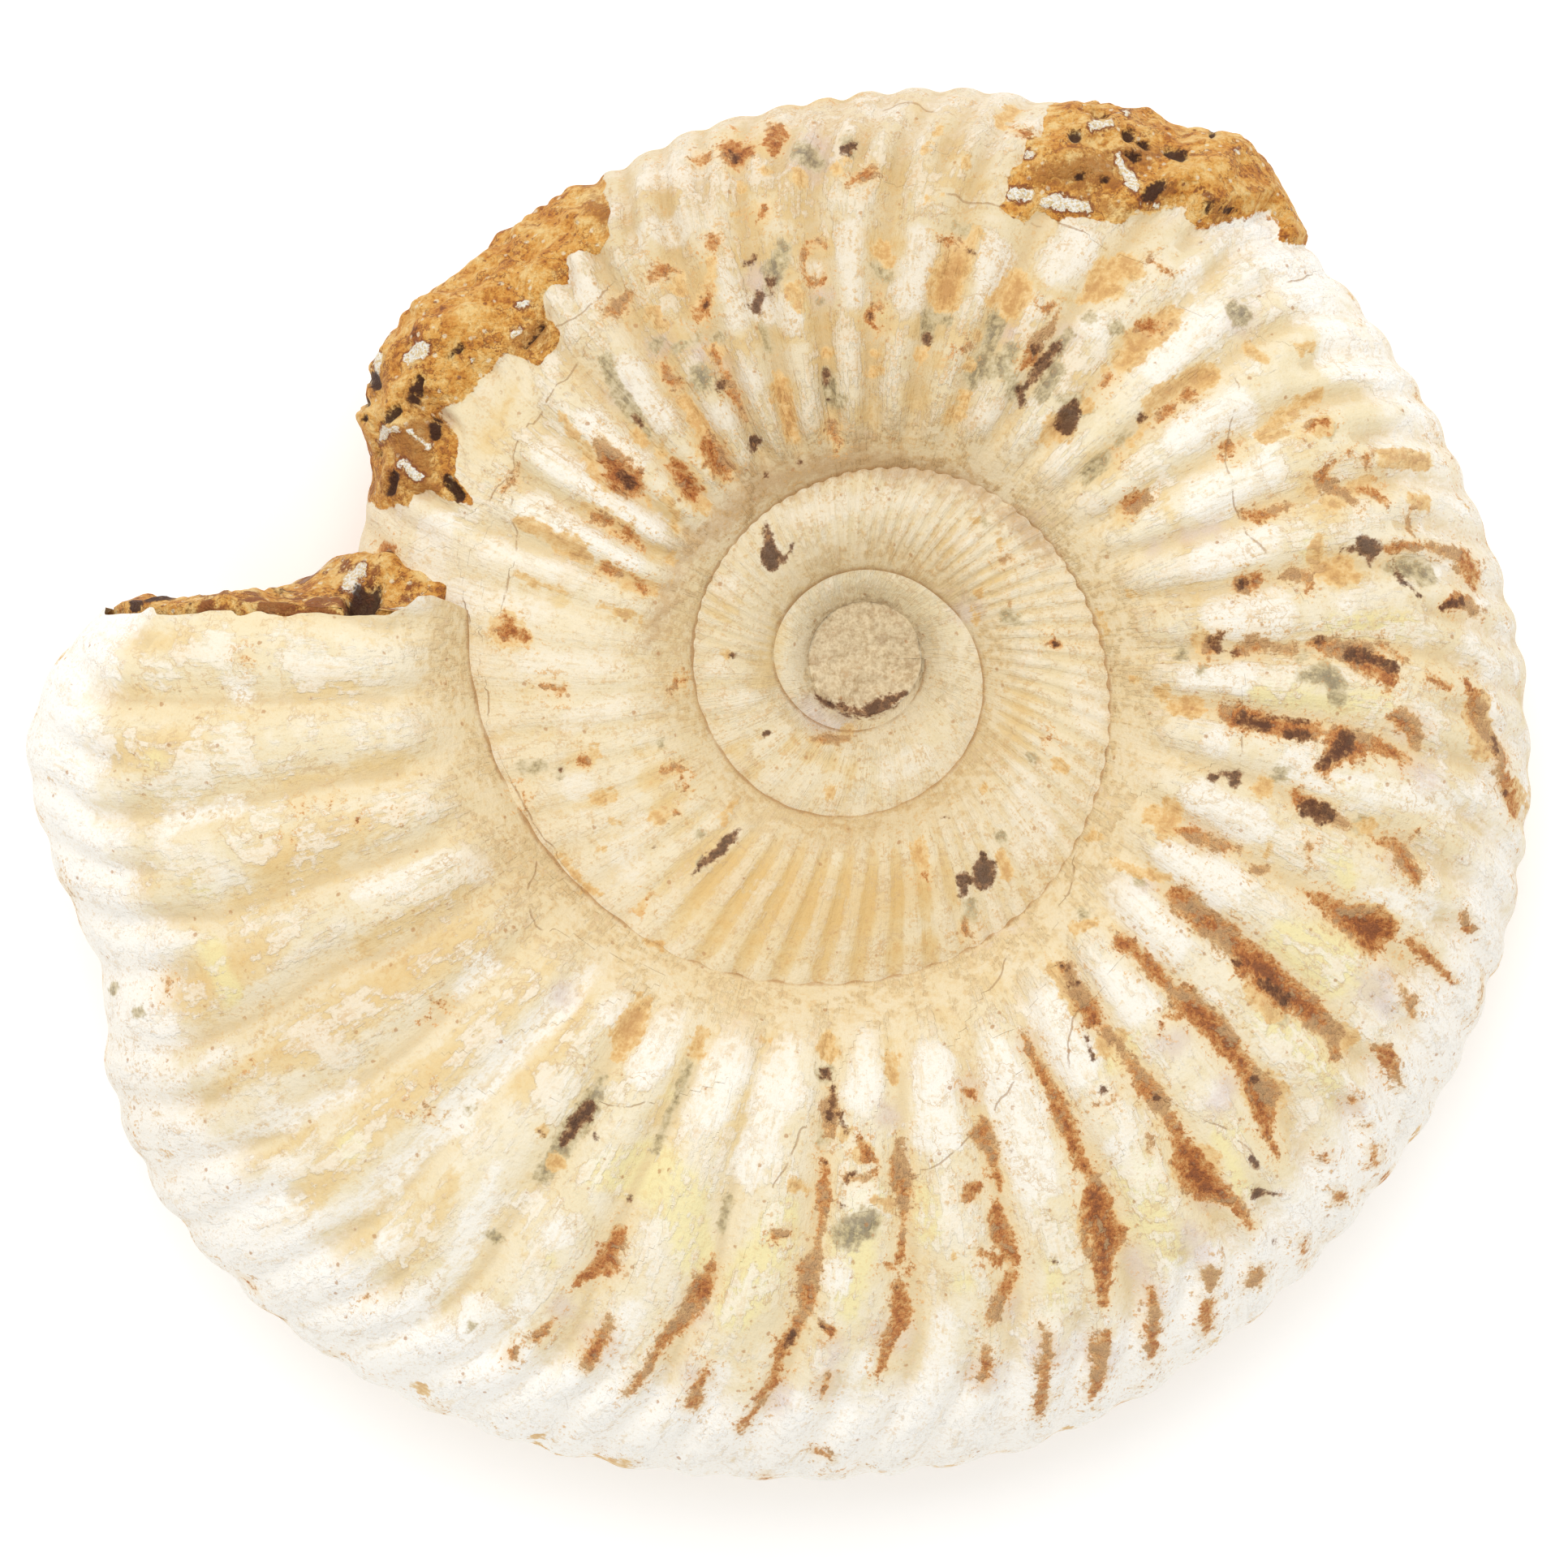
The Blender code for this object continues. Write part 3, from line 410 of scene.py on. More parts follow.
        [(238, 48.6, .7), (238.2, 46, 1), (238.4, 42.6, .9), (238, 39.4, .5)], [(237.3, 55, .7)],
        [(239.4, 61.6, .5)], [(246.9, 43, .3), (246.8, 39, .4), (246.6, 35.4, .5)], [(256, 47, .4),
        (256, 44.6, .4)], [(265, 38.6, .6), (265.8, 36.6, .8)], [(264.6, 33.2, .8)], [(268, 46, 1.2),
        (270.4, 45, 1.2)], [(319.6, 43.6, .9)], [(320.8, 28.2, .5)], [(341.6, 42, .8)],
        [(344.4, 34.4, .8)],
        [(355.6, 38, .8), (358.4, 37, .9), (357.6, 35, .5)], [(360.2, 35, .5)], [(368.4, 45.6, .9),
        (369.4, 44.4, 1), (370, 42.6, .5)], [(361, 25.4, .6)], [(386.4, 41, .8)], [(42.4, 40.6, .9),
        (43.4, 40.3, .7)], [(39.8, 25.2, .7), (39.6, 23.2, .6)], [(40, 28, .4), (40.4, 26.6, .3)],
        [(48.6, 26.8, .6), (52, 26, .6)], [(52.4, 33.2, .6)], [(56.6, 32.6, .6)], [(56.8, 27.6, .8),
        (56, 25.4, .6)], [(58, 30.8, .6), (58.6, 28.6, .6)], [(62, 25.4, .6), (60, 24.4, .7)],
        [(64.4, 27.4, .7), (64.6, 26, .9)], [(67.8, 30.8, .6), (68.4, 29, .7), (68.4, 27, .7),
        (68.6, 25, 1), (69, 23.8, .7)], [(66.8, 25.2, .8)], [(75.6, 35.2, .6), (77.8, 35.2, .5)],
        [(76.6, 28, .6), (79, 28.2, .7), (79.2, 26.4, .6)], [(78.4, 32.6, .6), (77, 30.8, .5)],
        [(86.8, 30.6, .6), (88, 31.4, .5)], [(95.4, 40, .8), (97.4, 40.8, .9)], [(91.8, 41, .8)],
        [(97.6, 22.8, .6), (96.6, 21, .9)], [(97, 29, .4)], [(101, 33.2, .7), (103, 32, 1),
        (104, 30.6, .5)], [(106.8, 27.6, .3), (107.2, 26, .3)], [(114.8, 28.2, .6)], [(117, 29.2, .2),
        (118, 28.5, .25), (120, 29, .25), (122, 28.8, .3)], [(117.8, 24.8, .6)], [(120, 26, 1.1)],
        [(123.4, 30.2, .7)], [(130.8, 31.6, .4), (132, 30.2, .5), (132.5, 28.6, .6), (133.4, 27, .5),
        (134, 25, .4)], [(145.2, 26.6, .3)], [(197.8, 28.6, .5), (198.6, 27, .4)], [(200.4, 26, .6)],
        [(292, 22.2, .7), (293.6, 21.4, .5)], [(307.4, 18, .5)], [(330, 15.5, .4)], [(202.4, 17.6, .3)],
        [(231.8, 21, .6)], [(12, 13, .4), (17, 12, .7)], [(48.6, 14.5, .4)], [(226.4, 19.2, .3)],
        [(310.6, 27, .5)], [(228.8, 48, .5)], [(203.8, 65.6, .4)], [(206, 64.4, .5)], [(358, 27, .4)],
    ],
    "violet": [
        [(246.8, 52.4, 1)], [(248.8, 58.4, 1.4)], [(245, 57.4, .8)], [(256.8, 58.8, .9)],
        [(263, 59.4, 1.2)], [(255.2, 54, 1.2)], [(266.9, 58.6, .6), (267.6, 54.6, .5)],
        [(272.4, 54, 1.4)],
        [(279.6, 57.8, 1.2)], [(284.6, 57, 1.3)], [(282.4, 53, 1)], [(288.6, 58.8, 1.3)],
        [(294.4, 56, .9),
        (294.2, 52.8, .8)], [(299.4, 54.8, .9), (299.8, 52.6, .5)], [(293, 33.4, .8)], [(303, 51, 1.3)],
        [(308.6, 45, .8), (310.6, 44.8, .8)], [(309, 39.4, 1), (307.4, 38.6, .6)], [(317.6, 52.8, .8)],
        [(327.4, 48.4, 1.6), (326.4, 50, .8)], [(321.2, 28.6, .6)], [(332.6, 32, .6),
        (332.4, 29.6, .6)],
        [(348.2, 46, .8), (349, 44.6, .7)], [(353, 44, 1.2)], [(339.6, 45.6, .8)], [(380.6, 30, .5),
        (381, 27.6, .4)], [(381, 24.6, .5)], [(402.4, 40.4, 1.2)], [(58.2, 30.6, .8)], [(66, 28.4, .6)],
        [(116, 26, .6)], [(123.2, 30, .9)], [(96.8, 29.4, .6)], [(132.4, 28.8, .6)],
        [(283.8, 35.4, .9)],
        [(273, 36.6, .7)], [(228, 36, .8)], [(96, 40.4, 1.6)], [(222, 6, .7), (236, 6.2, .9),
        (250, 5.8, .7)], [(25, 9.2, .8)], [(118, 27.6, .8)], [(105, 31.4, 1.1)],
    ],
}
# Wide washes of colour: the same, with soft edges
WASHES = {
    "tan": [
        [(178.5, 60, 1.4), (178.5, 54, 1.2)], [(183, 63, .8), (182.4, 58, .6)], [(187, 64, 1.3),
        (187.4, 58, 2), (187, 54, 1.4)], [(183.4, 45, 1), (182.6, 41, .8)], [(192.4, 47, 1.2),
        (192.4, 43, .6)], [(192.4, 41, 1.4), (192.6, 38, 1)], [(196.6, 64, 1.6), (197.5, 60, 1.3)],
        [(198.4, 56, 1.3)], [(199, 50, 2.4), (198.4, 44, 2), (198.4, 39, 1.2)], [(201.6, 54, 1),
        (201.6, 46, 1.1)], [(204.6, 64.5, 1.4), (206.2, 60, 2.8), (206, 55, 2.4), (205.6, 52, 1.4)],
        [(209.6, 46, 1.1), (209.8, 37, .8)], [(214, 67, .9), (213.7, 60, 1.1), (214.6, 54, 2.4),
        (214.6, 46, 2.2), (215.4, 38, 1.8)], [(219.3, 68, 1), (220, 62, .7), (220.5, 58, .4)],
        [(224, 67, 1), (224, 60, 1.8), (223.5, 54, 2.1), (224, 47, 2), (224.4, 40, 1.4), (224, 35, 1)],
        [(229, 66, 1), (229, 60, .8)], [(233, 64, .8), (232.5, 58, 1.4), (232, 53, 1.2)],
        [(231.6, 44, 1.4),
        (232, 38, 1.2), (230.4, 35, .8)], [(246, 40, 1.1), (246.6, 34, 1)], [(254.4, 39.6, 1.2),
        (256, 36, .9)], [(256, 31.6, 1.2)], [(264.6, 31, 1)], [(274, 31, 1)], [(282, 29, 1)],
        [(291, 28, 1.2)], [(370.4, 39, 2)], [(377.4, 38.6, 1.4), (382.6, 38, 1)], [(386, 38.8, 1.4)],
        [(364, 43, 1), (364.2, 38, 1)], [(400, 34.6, 1.6)], [(388, 23.6, 1.2)], [(399, 24.6, 2)],
        [(66, 29, 2.6)], [(54.6, 28.4, 2.2)], [(57, 36.4, 2.2)], [(49, 33, 2)], [(78, 31, 2.4)],
        [(76.4, 24.4, 1.2)], [(88, 24, 1.4)], [(88, 32.6, 1.4)], [(80, 41.6, 1.6)], [(92.6, 41.4, 2.4)],
        [(102.6, 41, 2.6)], [(99, 36.4, 1.6)], [(104, 36, 1.6)], [(102, 32, 2)], [(98, 24, 1.6)],
        [(107.4, 22, 1.8)], [(100.4, 29.4, 1.6)], [(112.4, 40.6, 2)], [(115.8, 31.6, 2)],
        [(115.6, 35.6, 1.4)], [(121.6, 29.4, 2.2)], [(117.4, 26, 1.6)], [(126, 21.4, 1.8)],
        [(135, 20.4, 1.8)], [(144, 19.6, 1.4)], [(152, 18.6, 1.4)], [(161.6, 19.6, 1.2)],
        [(79, 21.4, 1.6)],
        [(70, 21, 1.6)], [(90, 19.4, 1.4)], [(98, 19, 1.4)], [(210, 19, 2.2), (218, 19.6, 1.6)],
        [(198, 24, 1.4)], [(208, 24, 1)], [(222, 12.4, 1.2), (214, 12.8, .8)], [(237, 26, 1.2),
        (247, 25, 1.6), (256, 24.6, 1.6), (270, 24, 1.4), (284, 23.4, 1.2)], [(236, 21, 4),
        (256, 20.4, 4.6), (270, 19.4, 4), (286, 18.6, 2.6)], [(330, 13.6, 1.6), (345, 13, 1.6)],
        [(232, 23.6, 1.6), (240, 24, 2.4),
        (250, 24, 2)], [(236, 21, 2.4)], [(58, 27.4, .9), (75, 27, 1.2), (92, 27, 1.2), (108, 27, 1.2),
        (124, 26.6, 1), (140, 25.6, .8)], [(60, 33, .8), (75, 33.4, 1.1), (92, 33.6, 1.2),
        (108, 33.6, 1.2),
        (124, 33, .9)], [(76, 39, .9), (92, 39.4, 1.2), (108, 39.2, 1.2), (116, 41, 1)],
        [(76, 44.6, .8),
        (92, 45, .9), (104, 44.6, .8)], [(0, 27, .6), (20, 27.4, .7), (40, 27.4, .7)], [(150, 26, .5),
        (170, 25, .5)], [(143, 35.3, 1), (150, 34.8, 1.4)], [(30, 12, 1.4)], [(52, 11.6, 1.4)],
        [(160, 12, 1.2)], [(190, 8, 1.2), (160, 7.6, 1)], [(230, 9, 1),
        (260, 9, 1)],
    ],
    "umber_and_wall_shade": [
        [(60.4, 46.4, .8), (63, 44.6, 1.4), (66, 42.4, 1.6), (70, 41, 1)], [(60, 41.4, .6),
        (66, 40.2, .6)],
        [(66.6, 46.2, .9)], [(57.6, 44, .9)], [(51.8, 45.6, .7)],
        [(135, 37.2, 1.2), (139, 37.4, .6)], [(150, 41.6, 1.2)], [(151, 39, 1.2), (154, 40.4, 1.6),
        (158, 38, 1.6)], [(160, 40.4, 1.2)], [(120, 44, .6), (121, 40.6, 1)], [(150.6, 45, .8)],
        # This stroke darkens the umbilical wall along the top of the coil, the side turned away from the key
        # light: painted shade
        [(30, 17.2, .8), (60, 16.4, 1.2), (90, 16.2, 1.5), (120, 16.2, 1.6), (150, 16.6, 1.4),
        (175, 17.4, .6)],
    ],
    "yellow": [
        [(243, 46, 1.4), (247, 44.6, 2.6), (251, 45, 2.2), (254, 49.4, 1.8)], [(259, 53, 1.8),
        (260, 49, 2.4), (262, 44.6, 1.4)], [(268.6, 52, 1.2), (269, 47, 2), (270.4, 42.6, 1.2)],
        [(276.6, 46, 1.1), (276, 43, 1)], [(279, 50.4, 1)], [(286.6, 54, .7), (287, 51, .9)],
        [(297.6, 54, 1.1), (297, 50.6, 1.6), (298, 46.4, 1.6)], [(305.4, 52, .9), (306.6, 47.4, .9)],
        [(301, 38, .8), (305.6, 37.2, .8)], [(309.6, 56, .7)], [(317, 52, .8), (318.6, 47, 1.3),
        (318, 43, 1.2)], [(327, 48, 1.1), (328, 44, 1.9), (327, 40, 1.3)], [(335.6, 42.4, 1.3),
        (337.4, 40.8, .9)], [(346, 43, .8), (345.4, 39.6, .9)], [(355.4, 42, .9), (354.6, 36, 1.3),
        (355, 31.6, 1)], [(364, 43, .9), (364.4, 38, 1.1)], [(374, 36.8, 1)], [(204, 57, 1.2),
        (208, 57, 1.2)], [(199, 56, .8)], [(188, 57, .8)], [(223.6, 56.4, 1.2)], [(242.2, 54, .7)],
        [(320.4, 34, .5)], [(295, 50, .8)], [(324.8, 46, .9), (325, 40, .8)], [(308, 48, .8)],
        [(88, 27.6, .8)], [(101, 28.6, .8)], [(246, 38, .8)],
    ],
    "white": [
        [(193.4, 57, .8), (193, 52, 1)], [(183.8, 65, 1.1), (184, 62, .4)], [(192.6, 64.4, 1.3),
        (193.4, 62, .6)], [(183, 50, 1)],
        [(205, 45, .8), (205, 40, 1), (205.2, 37, .8)], [(208.8, 34.8, 1)], [(211.6, 66, .6),
        (211.4, 60, .5)], [(216, 68, .6), (217.3, 63, .8), (218.3, 60, .9), (219.4, 56, 1),
        (220.4, 53.8, .5)], [(219.2, 41.6, 1), (218.8, 39, 1.1)], [(221, 66.5, .7), (221.3, 62, .9)],
        [(225.3, 66, .6), (226.3, 62, 1), (227.3, 58, 1.1), (227.8, 53, 1.2), (228.2, 46, 1.2),
        (228.4, 39, 1.4), (229, 33, 1)], [(231, 64, .5), (230.8, 60, .7)], [(235.6, 64, 1),
        (236, 58, 1.2),
        (234, 50, .8)], [(240, 61, 2), (243, 65, 1.4), (242, 58, 1)], [(242, 52, 1.2)],
        [(234.6, 34.6, 1.4)], [(242, 37, 1.6), (242, 33, 1.2)], [(250.6, 38, 2), (251, 33.6, 1.6)],
        [(250, 60, 1), (250.4, 55, 1)], [(258.6, 58, 1), (257, 62, .6)], [(257.4, 42, 1),
        (258.6, 36, 1.8),
        (259, 32, 1.4)], [(270, 34.6, 1.6), (270, 30.4, 1)], [(268, 60, 1.2), (270, 56, 1)],
        [(267.6, 49, 1.2)], [(279, 38, 2.2), (279.4, 33, 1.8)], [(276, 58, 1.4), (277, 53, 1)],
        [(288, 44, 2), (289, 38, 2.4), (288.6, 33, 1.6)], [(286, 59.4, .8)], [(291, 58, .7)],
        [(298, 36, 2),
        (297.4, 31.6, 1.4)], [(297, 43.6, 1)], [(308, 35, 1.8), (308, 32, 1.2)], [(309, 44.6, .9)],
        [(317, 33, 2), (317.4, 28, 1.4)], [(327.6, 33.6, 1.8), (327, 29, 1.2)], [(336, 49, 1.4),
        (335.4, 45, 1)], [(337, 34, 1.4), (337.6, 29, 1.4)], [(345.6, 35, 1.2), (346, 48, 1.2)],
        [(346.6, 29, 1.2)], [(357, 30, 1.2), (356.6, 26, 1)], [(366.6, 33, 2), (366.6, 28.6, 1.4)],
        [(366.4, 38.6, 1)], [(376.4, 33.4, 1.6), (376, 29, 1.4)], [(368.6, 46, .5)], [(385, 35, 1.4),
        (385.4, 30, 1.8)], [(394, 36, 1.6), (394.6, 31, 1.6)], [(396, 46, 1.6), (392, 44, 1.4)],
        [(44.6, 38, 1.2), (45, 33, 1.4)], [(50, 40.6, 1.2)], [(56, 32.4, 1.2)], [(62.4, 36.4, 1.6),
        (64, 34, 1.2)], [(64.4, 31, .8)], [(71.6, 34, 1.4), (72, 31, 1)], [(82.6, 34, 1.2),
        (82.6, 29, 1)],
        [(84, 31.6, .8)], [(91.6, 34, 1.2), (92, 29, 1.1)], [(97, 31.6, .7)], [(102.4, 27.6, 1),
        (111.4, 31, .8)], [(110.4, 32, .7), (111, 28.6, .8)], [(112, 24, 1)], [(120.6, 22.6, 1.2)],
        [(129.4, 30, 1.2), (129.8, 25, 1)], [(138.6, 29, 1), (138.8, 24, .9)], [(147.6, 30, 1.4),
        (148, 25, 1), (148.6, 20, .8)], [(155.4, 29, 1.2), (156.6, 24, 1), (157.6, 20, .9)],
        [(163.8, 31, 1), (164, 26, .8)], [(171, 33, 1.2), (171.6, 26, .9)], [(163, 36, 1.4),
        (168, 35.4, 1.6), (172, 36, 1.4)], [(113, 37.4, 1),
        (118, 38, 1.2)], [(110, 33.4, .6)], [(127, 36.4, 1)], [(180, 26, 1.2), (181, 20, 1)],
        [(192, 24, 1.2), (190, 20, 1)], [(204, 25, 1)], [(222, 25, 1.4)], [(216, 22, .8)],
        [(312, 20, 1.6),
        (318, 17.6, 1.4)], [(345, 18.6, 1.4), (355, 17, 1)], [(50, 12.6, .8)], [(70, 13.4, .8),
        (100, 12.6, 1.2), (115, 12.4, .8)], [(150, 12.2, .7)], [(232, 12, .6)], [(280, 9.6, 1),
        (300, 9, 1)], [(182, 11.6, .8)],
    ],
}
# Cracks and thin edges: points as (direction, mm)
CRACKS = [
    [(145, 32.9), (150, 32.5), (151.2, 32), (157, 32.2), (158.6, 33)], [(153.6, 30.9), (158, 30.4),
    (160, 29.6), (163.6, 29.1)], [(167, 29.1), (171, 29.3)], [(172, 32.3), (176, 31.8)], [(176.6, 30.8),
    (180, 30.8)], [(185, 30.4), (188, 30.5)], [(200, 29.8), (207, 29.6), (212, 29.3)], [(211.8, 31),
    (213.4, 32), (214.8, 33), (219, 33.4), (220.4, 33)], [(25, 32.5), (29, 33), (32, 34.4),
    (35.6, 36.4),
    (37, 37)], [(14, 33.2), (18, 32.1), (22, 32.2), (25, 32.5)], [(240.2, 41.2), (242.6, 40.5),
    (244, 39.6)], [(307.8, 50), (307.6, 47.8), (306.8, 46.4)], [(41, 47), (41.8, 45.6), (42.2, 44)],
    [(63, 38), (66, 38), (68, 37.4), (76, 37.8), (80, 37.8)], [(125, 36.2), (129, 35.8), (132, 36.3)],
    [(82, 44.2), (84.4, 44.7), (88.4, 44.3)], [(260.4, 43), (261.4, 40.4), (262.8, 38)], [(277, 41),
    (280, 40), (283, 38.6), (286, 37.6), (289, 36)], [(296, 37.4), (297.6, 35), (300, 33.4), (302, 33)],
    [(291, 28), (294, 27), (297, 26)], [(344, 29.6), (346, 31), (348, 30.8)], [(310.5, 24.6),
    (315, 23.4)],
    [(134, 33), (141, 32.5), (147, 32.6)],
]
# Holes in the rock, as strokes
HOLES = [
    [(50.4, 46.4, .3), (51.4, 46.2, .4)], [(52.8, 45.3, .6)], [(57.6, 47.6, .4), (59, 47.3, .4)],
    [(57.9, 45, .3), (58.4, 43.6, .6)],
    [(61.2, 46.8, .3), (62.2, 46.8, .2)], [(61.6, 45.6, .35), (62.6, 45.5, .2)], [(63.2, 46.9, .55)],
    [(66, 47.5, .2), (67, 47.2, .2)],
    [(68, 45.1, .6)], [(63.4, 42.9, .3)], [(65.6, 42.5, .3), (66.4, 42, .2)], [(56.4, 50.4, .3)],
    [(147.8, 42.2, .4), (150, 41.6, .6)],
    [(150.2, 45.4, .5), (150.7, 44.8, .4)], [(152.8, 44.8, .3)], [(152, 42.4, .4), (153.4, 42.7, .3)],
    [(151, 39.2, .4), (152.4, 38.8, .5)],
    [(158.8, 40.4, .4), (160.4, 40.2, .4)], [(156.8, 36.2, .4), (158, 35, .5)], [(142.4, 41, .3),
    (144, 41.3, .2)],
    [(134, 37.2, .2), (137.4, 37, .2)], [(157, 42.2, .25)], [(154.3, 44.4, .2)], [(174, 40.6, 1.2),
    (172.4, 40.2, 1.3), (170.8, 39.6, .7)],
]
# White shell bits in the rock, as strokes
SHELL_BITS = [
    [(64, 40.2, .5), (67, 39.6, .5), (68.6, 39.2, .4)], [(70.4, 39.3, .5), (72.2, 39, .4)],
    [(60.4, 43.6, .5), (62, 44.1, .4), (63.4, 44.9, .2)],
    [(65.4, 47, .3), (66.8, 46.3, .3)], [(71.8, 42.4, .3)], [(145, 43.2, .6), (146.6, 43.5, .5)],
    [(148, 45.6, .3), (149.6, 45.2, .2)],
    [(153.6, 41.6, .3), (154.6, 42.4, .3), (155.8, 42.4, .2)], [(153.4, 40.6, .3), (154, 38.8, .3)],
    [(157, 40, .3), (157.8, 38.6, .3)],
    [(133.4, 39.3, .3), (134.4, 39.6, .2)], [(132, 38.4, .2)], [(136.4, 38.2, .3), (137.6, 38.4, .2)],
    [(142.6, 39.4, .2)], [(53.4, 46, .15), (54.6, 45.8, .15)],
    [(171.1, 41.8, .5), (169.9, 41, .5)], [(53.6, 50.3, .2)], [(64.4, 48.4, .2)], [(58.4, 42.6, .2),
    (57, 43.2, .2)],
]
# The underside of the last whorl, which isn't seen, has the upper flank's marks, moved by this many ribs
UNDERSIDE_RIBS = 8
# How deep a hole goes and how high a shell bit stands, in mm
HOLE_DEPTH = 0.6
MOUTH_HOLE_DEPTH = 1.8
BIT_HEIGHT = 0.15
# How far below the mouth's upper edge the holes and the shell bits of the photo still mark its rock, in mm
MOUTH_HOLES_END = (8, 11)
MOUTH_BITS_END = (8, 12)
# The distances from a mark, in mm, that the attributes of the meshes can tell
STAIN_REACH = 1.5
WASH_REACH = 3.0
LINE_REACH = 1.5
GROOVE_REACH = 2.0
# Degrees from one groove of the last whorl to the next, and the radius at which the grain isn't drawn out
GROOVE_SPACING = 9.5
GRAIN_RADIUS = 45


# ---------------------------------------------------------------- curves and noise

def smooth_curve(points, x):
    """Heights at x of a smooth curve through the points, straight in its first stretch."""
    xs, ys = np.array(points, float).T
    x = np.asarray(x, float)
    slopes = np.gradient(ys)
    slopes[1:-1] = (ys[2:] - ys[:-2]) / (xs[2:] - xs[:-2])
    slopes[-1] = (ys[-1] - ys[-2]) / (xs[-1] - xs[-2])
    k = np.clip(np.searchsorted(xs, x) - 1, 0, len(xs) - 2)
    width = xs[k + 1] - xs[k]
    t = (x - xs[k]) / width
    straight = ys[k] + (ys[k + 1] - ys[k]) * t
    bent = (
        (2 * t**3 - 3 * t**2 + 1) * ys[k] + (t**3 - 2 * t**2 + t) * slopes[k] * width
        + (3 * t**2 - 2 * t**3) * ys[k + 1] + (t**3 - t**2) * slopes[k + 1] * width
    )
    return np.where(k == 0, straight, bent)


def straight_curve(points, x):
    """Heights at x of a line drawn from point to point, carried on past both ends."""
    xs, ys = np.array(points, float).T
    k = np.clip(np.searchsorted(xs, x) - 1, 0, len(xs) - 2)
    return ys[k] + (ys[k + 1] - ys[k]) * (x - xs[k]) / (xs[k + 1] - xs[k])


def ease(low, high, x):
    """0 below low, 1 above high, and smooth between them."""
    t = np.clip((x - low) / (high - low), 0, 1)
    return t * t * (3 - 2 * t)


def lattice(x, y, z, seed):
    """A repeatable number from -1 to 1 for each whole-numbered point."""
    mixed = (x * 374761393 + y * 668265263 + z * 1103515245 + seed * 974634777) & 0xFFFFFFFF
    mixed = ((mixed ^ (mixed >> 13)) * 1274126177) & 0xFFFFFFFF
    return (mixed ^ (mixed >> 16)) / 0x7FFFFFFF - 1


def noise(points, size, seed=0):
    """Smooth noise from about -1 to 1, with lumps of this size."""
    place = points / size
    corner = np.floor(place).astype(np.int64)
    part = place - corner
    part = part**3 * (part * (part * 6 - 15) + 10)
    total = 0.0
    for dx in (0, 1):
        for dy in (0, 1):
            for dz in (0, 1):
                share = (
                    (part[..., 0] if dx else 1 - part[..., 0])
                    * (part[..., 1] if dy else 1 - part[..., 1])
                    * (part[..., 2] if dz else 1 - part[..., 2])
                )
                value = lattice(corner[..., 0] + dx, corner[..., 1] + dy, corner[..., 2] + dz, seed)
                total = total + share * value
    return total


def layered(points, layers, seed=0):
    """Noise of several sizes, each with its own height."""
    return sum(noise(points, size, seed + k) * height for k, (size, height) in enumerate(layers))


# ---------------------------------------------------------------- the shape of the shell, in mm

def seam_radius(angle):
    return smooth_curve(SEAM, angle)


def rim_radius(angle):
    covered = COVERED_RIM * COVERED_RIM_GROWTH ** (-(angle - SECOND_WHORL) / TURN)
    return np.where(angle <= SECOND_WHORL, smooth_curve(RIM, np.minimum(angle, RIM[-1][0])), covered)


def half_breadth(angle):
    return MOUTH_HALF_BREADTH * BREADTH_GROWTH ** (-(angle - MOUTH) / TURN)


def seam_share(angle):
    """Where the next whorl's seam lies on the whorl at this angle."""
    seam = seam_radius(angle)
    return (seam_radius(angle - TURN) - seam) / (rim_radius(angle) - seam)


def flank_height(angle, share, own_seam_height):
    """Height above the mid-plane of the whorl's plain section."""
    half = half_breadth(angle)
    fall = (np.clip(SHOULDER - share, 0, None) / SHOULDER) ** SHOULDER_ROUNDING
    out = np.clip((share - SHOULDER) / (1 - SHOULDER), 0, 1)
    flank = half * (1 - out * out) ** (FLANK_FULLNESS / 2)
    return np.where(share < SHOULDER, half - (half - own_seam_height) * fall, flank)


def seam_height(angle):
    """Height above the mid-plane of the umbilical seam, which lies on the flank of the whorl before."""
    height = np.full(np.shape(angle), CORE_HEIGHT)
    later = np.asarray(angle) < CORE_START
    if later.any():
        older = angle[later] + TURN
        height[later] = flank_height(older, seam_share(older), seam_height(older))
    return height


def rib_relief(count, forked):
    """From -1 in a groove to 1 on a rib; forked runs from 0, one rib to a groove, to 1, two ribs."""
    single = np.cos(2 * np.pi * count)
    double = np.cos(4 * np.pi * count)
    wave = single + (double - single) * forked
    return 1 - 2 * ((1 + wave) / 2) ** GROOVE_SHARPNESS


def rib_place(angle, share):
    """The number of grooves passed, on the last whorl and on the older ones, which carry on its count."""
    last = straight_curve(RIB_COUNT, angle - straight_curve(RIB_SWEEP, share))
    within = share / seam_share(np.maximum(angle, SECOND_WHORL - 30))
    older = straight_curve(INNER_RIB_COUNT, angle - INNER_RIB_SWEEP * (within - 0.5))
    return last, older, within


def rock_reach(angle, share):
    """How far the rock stands out past the shell."""
    reach = np.zeros(np.shape(angle))
    for points, start in zip(ROCK_REACH, ROCK_FROM_SHARE):
        inside = (angle > points[0][0]) & (angle < points[-1][0])
        swell = smooth_curve(points, np.clip(angle, points[0][0], points[-1][0]))
        reach = reach + np.where(inside, swell * ease(start, start + 0.12, share), 0)
    return np.maximum(reach, 0)


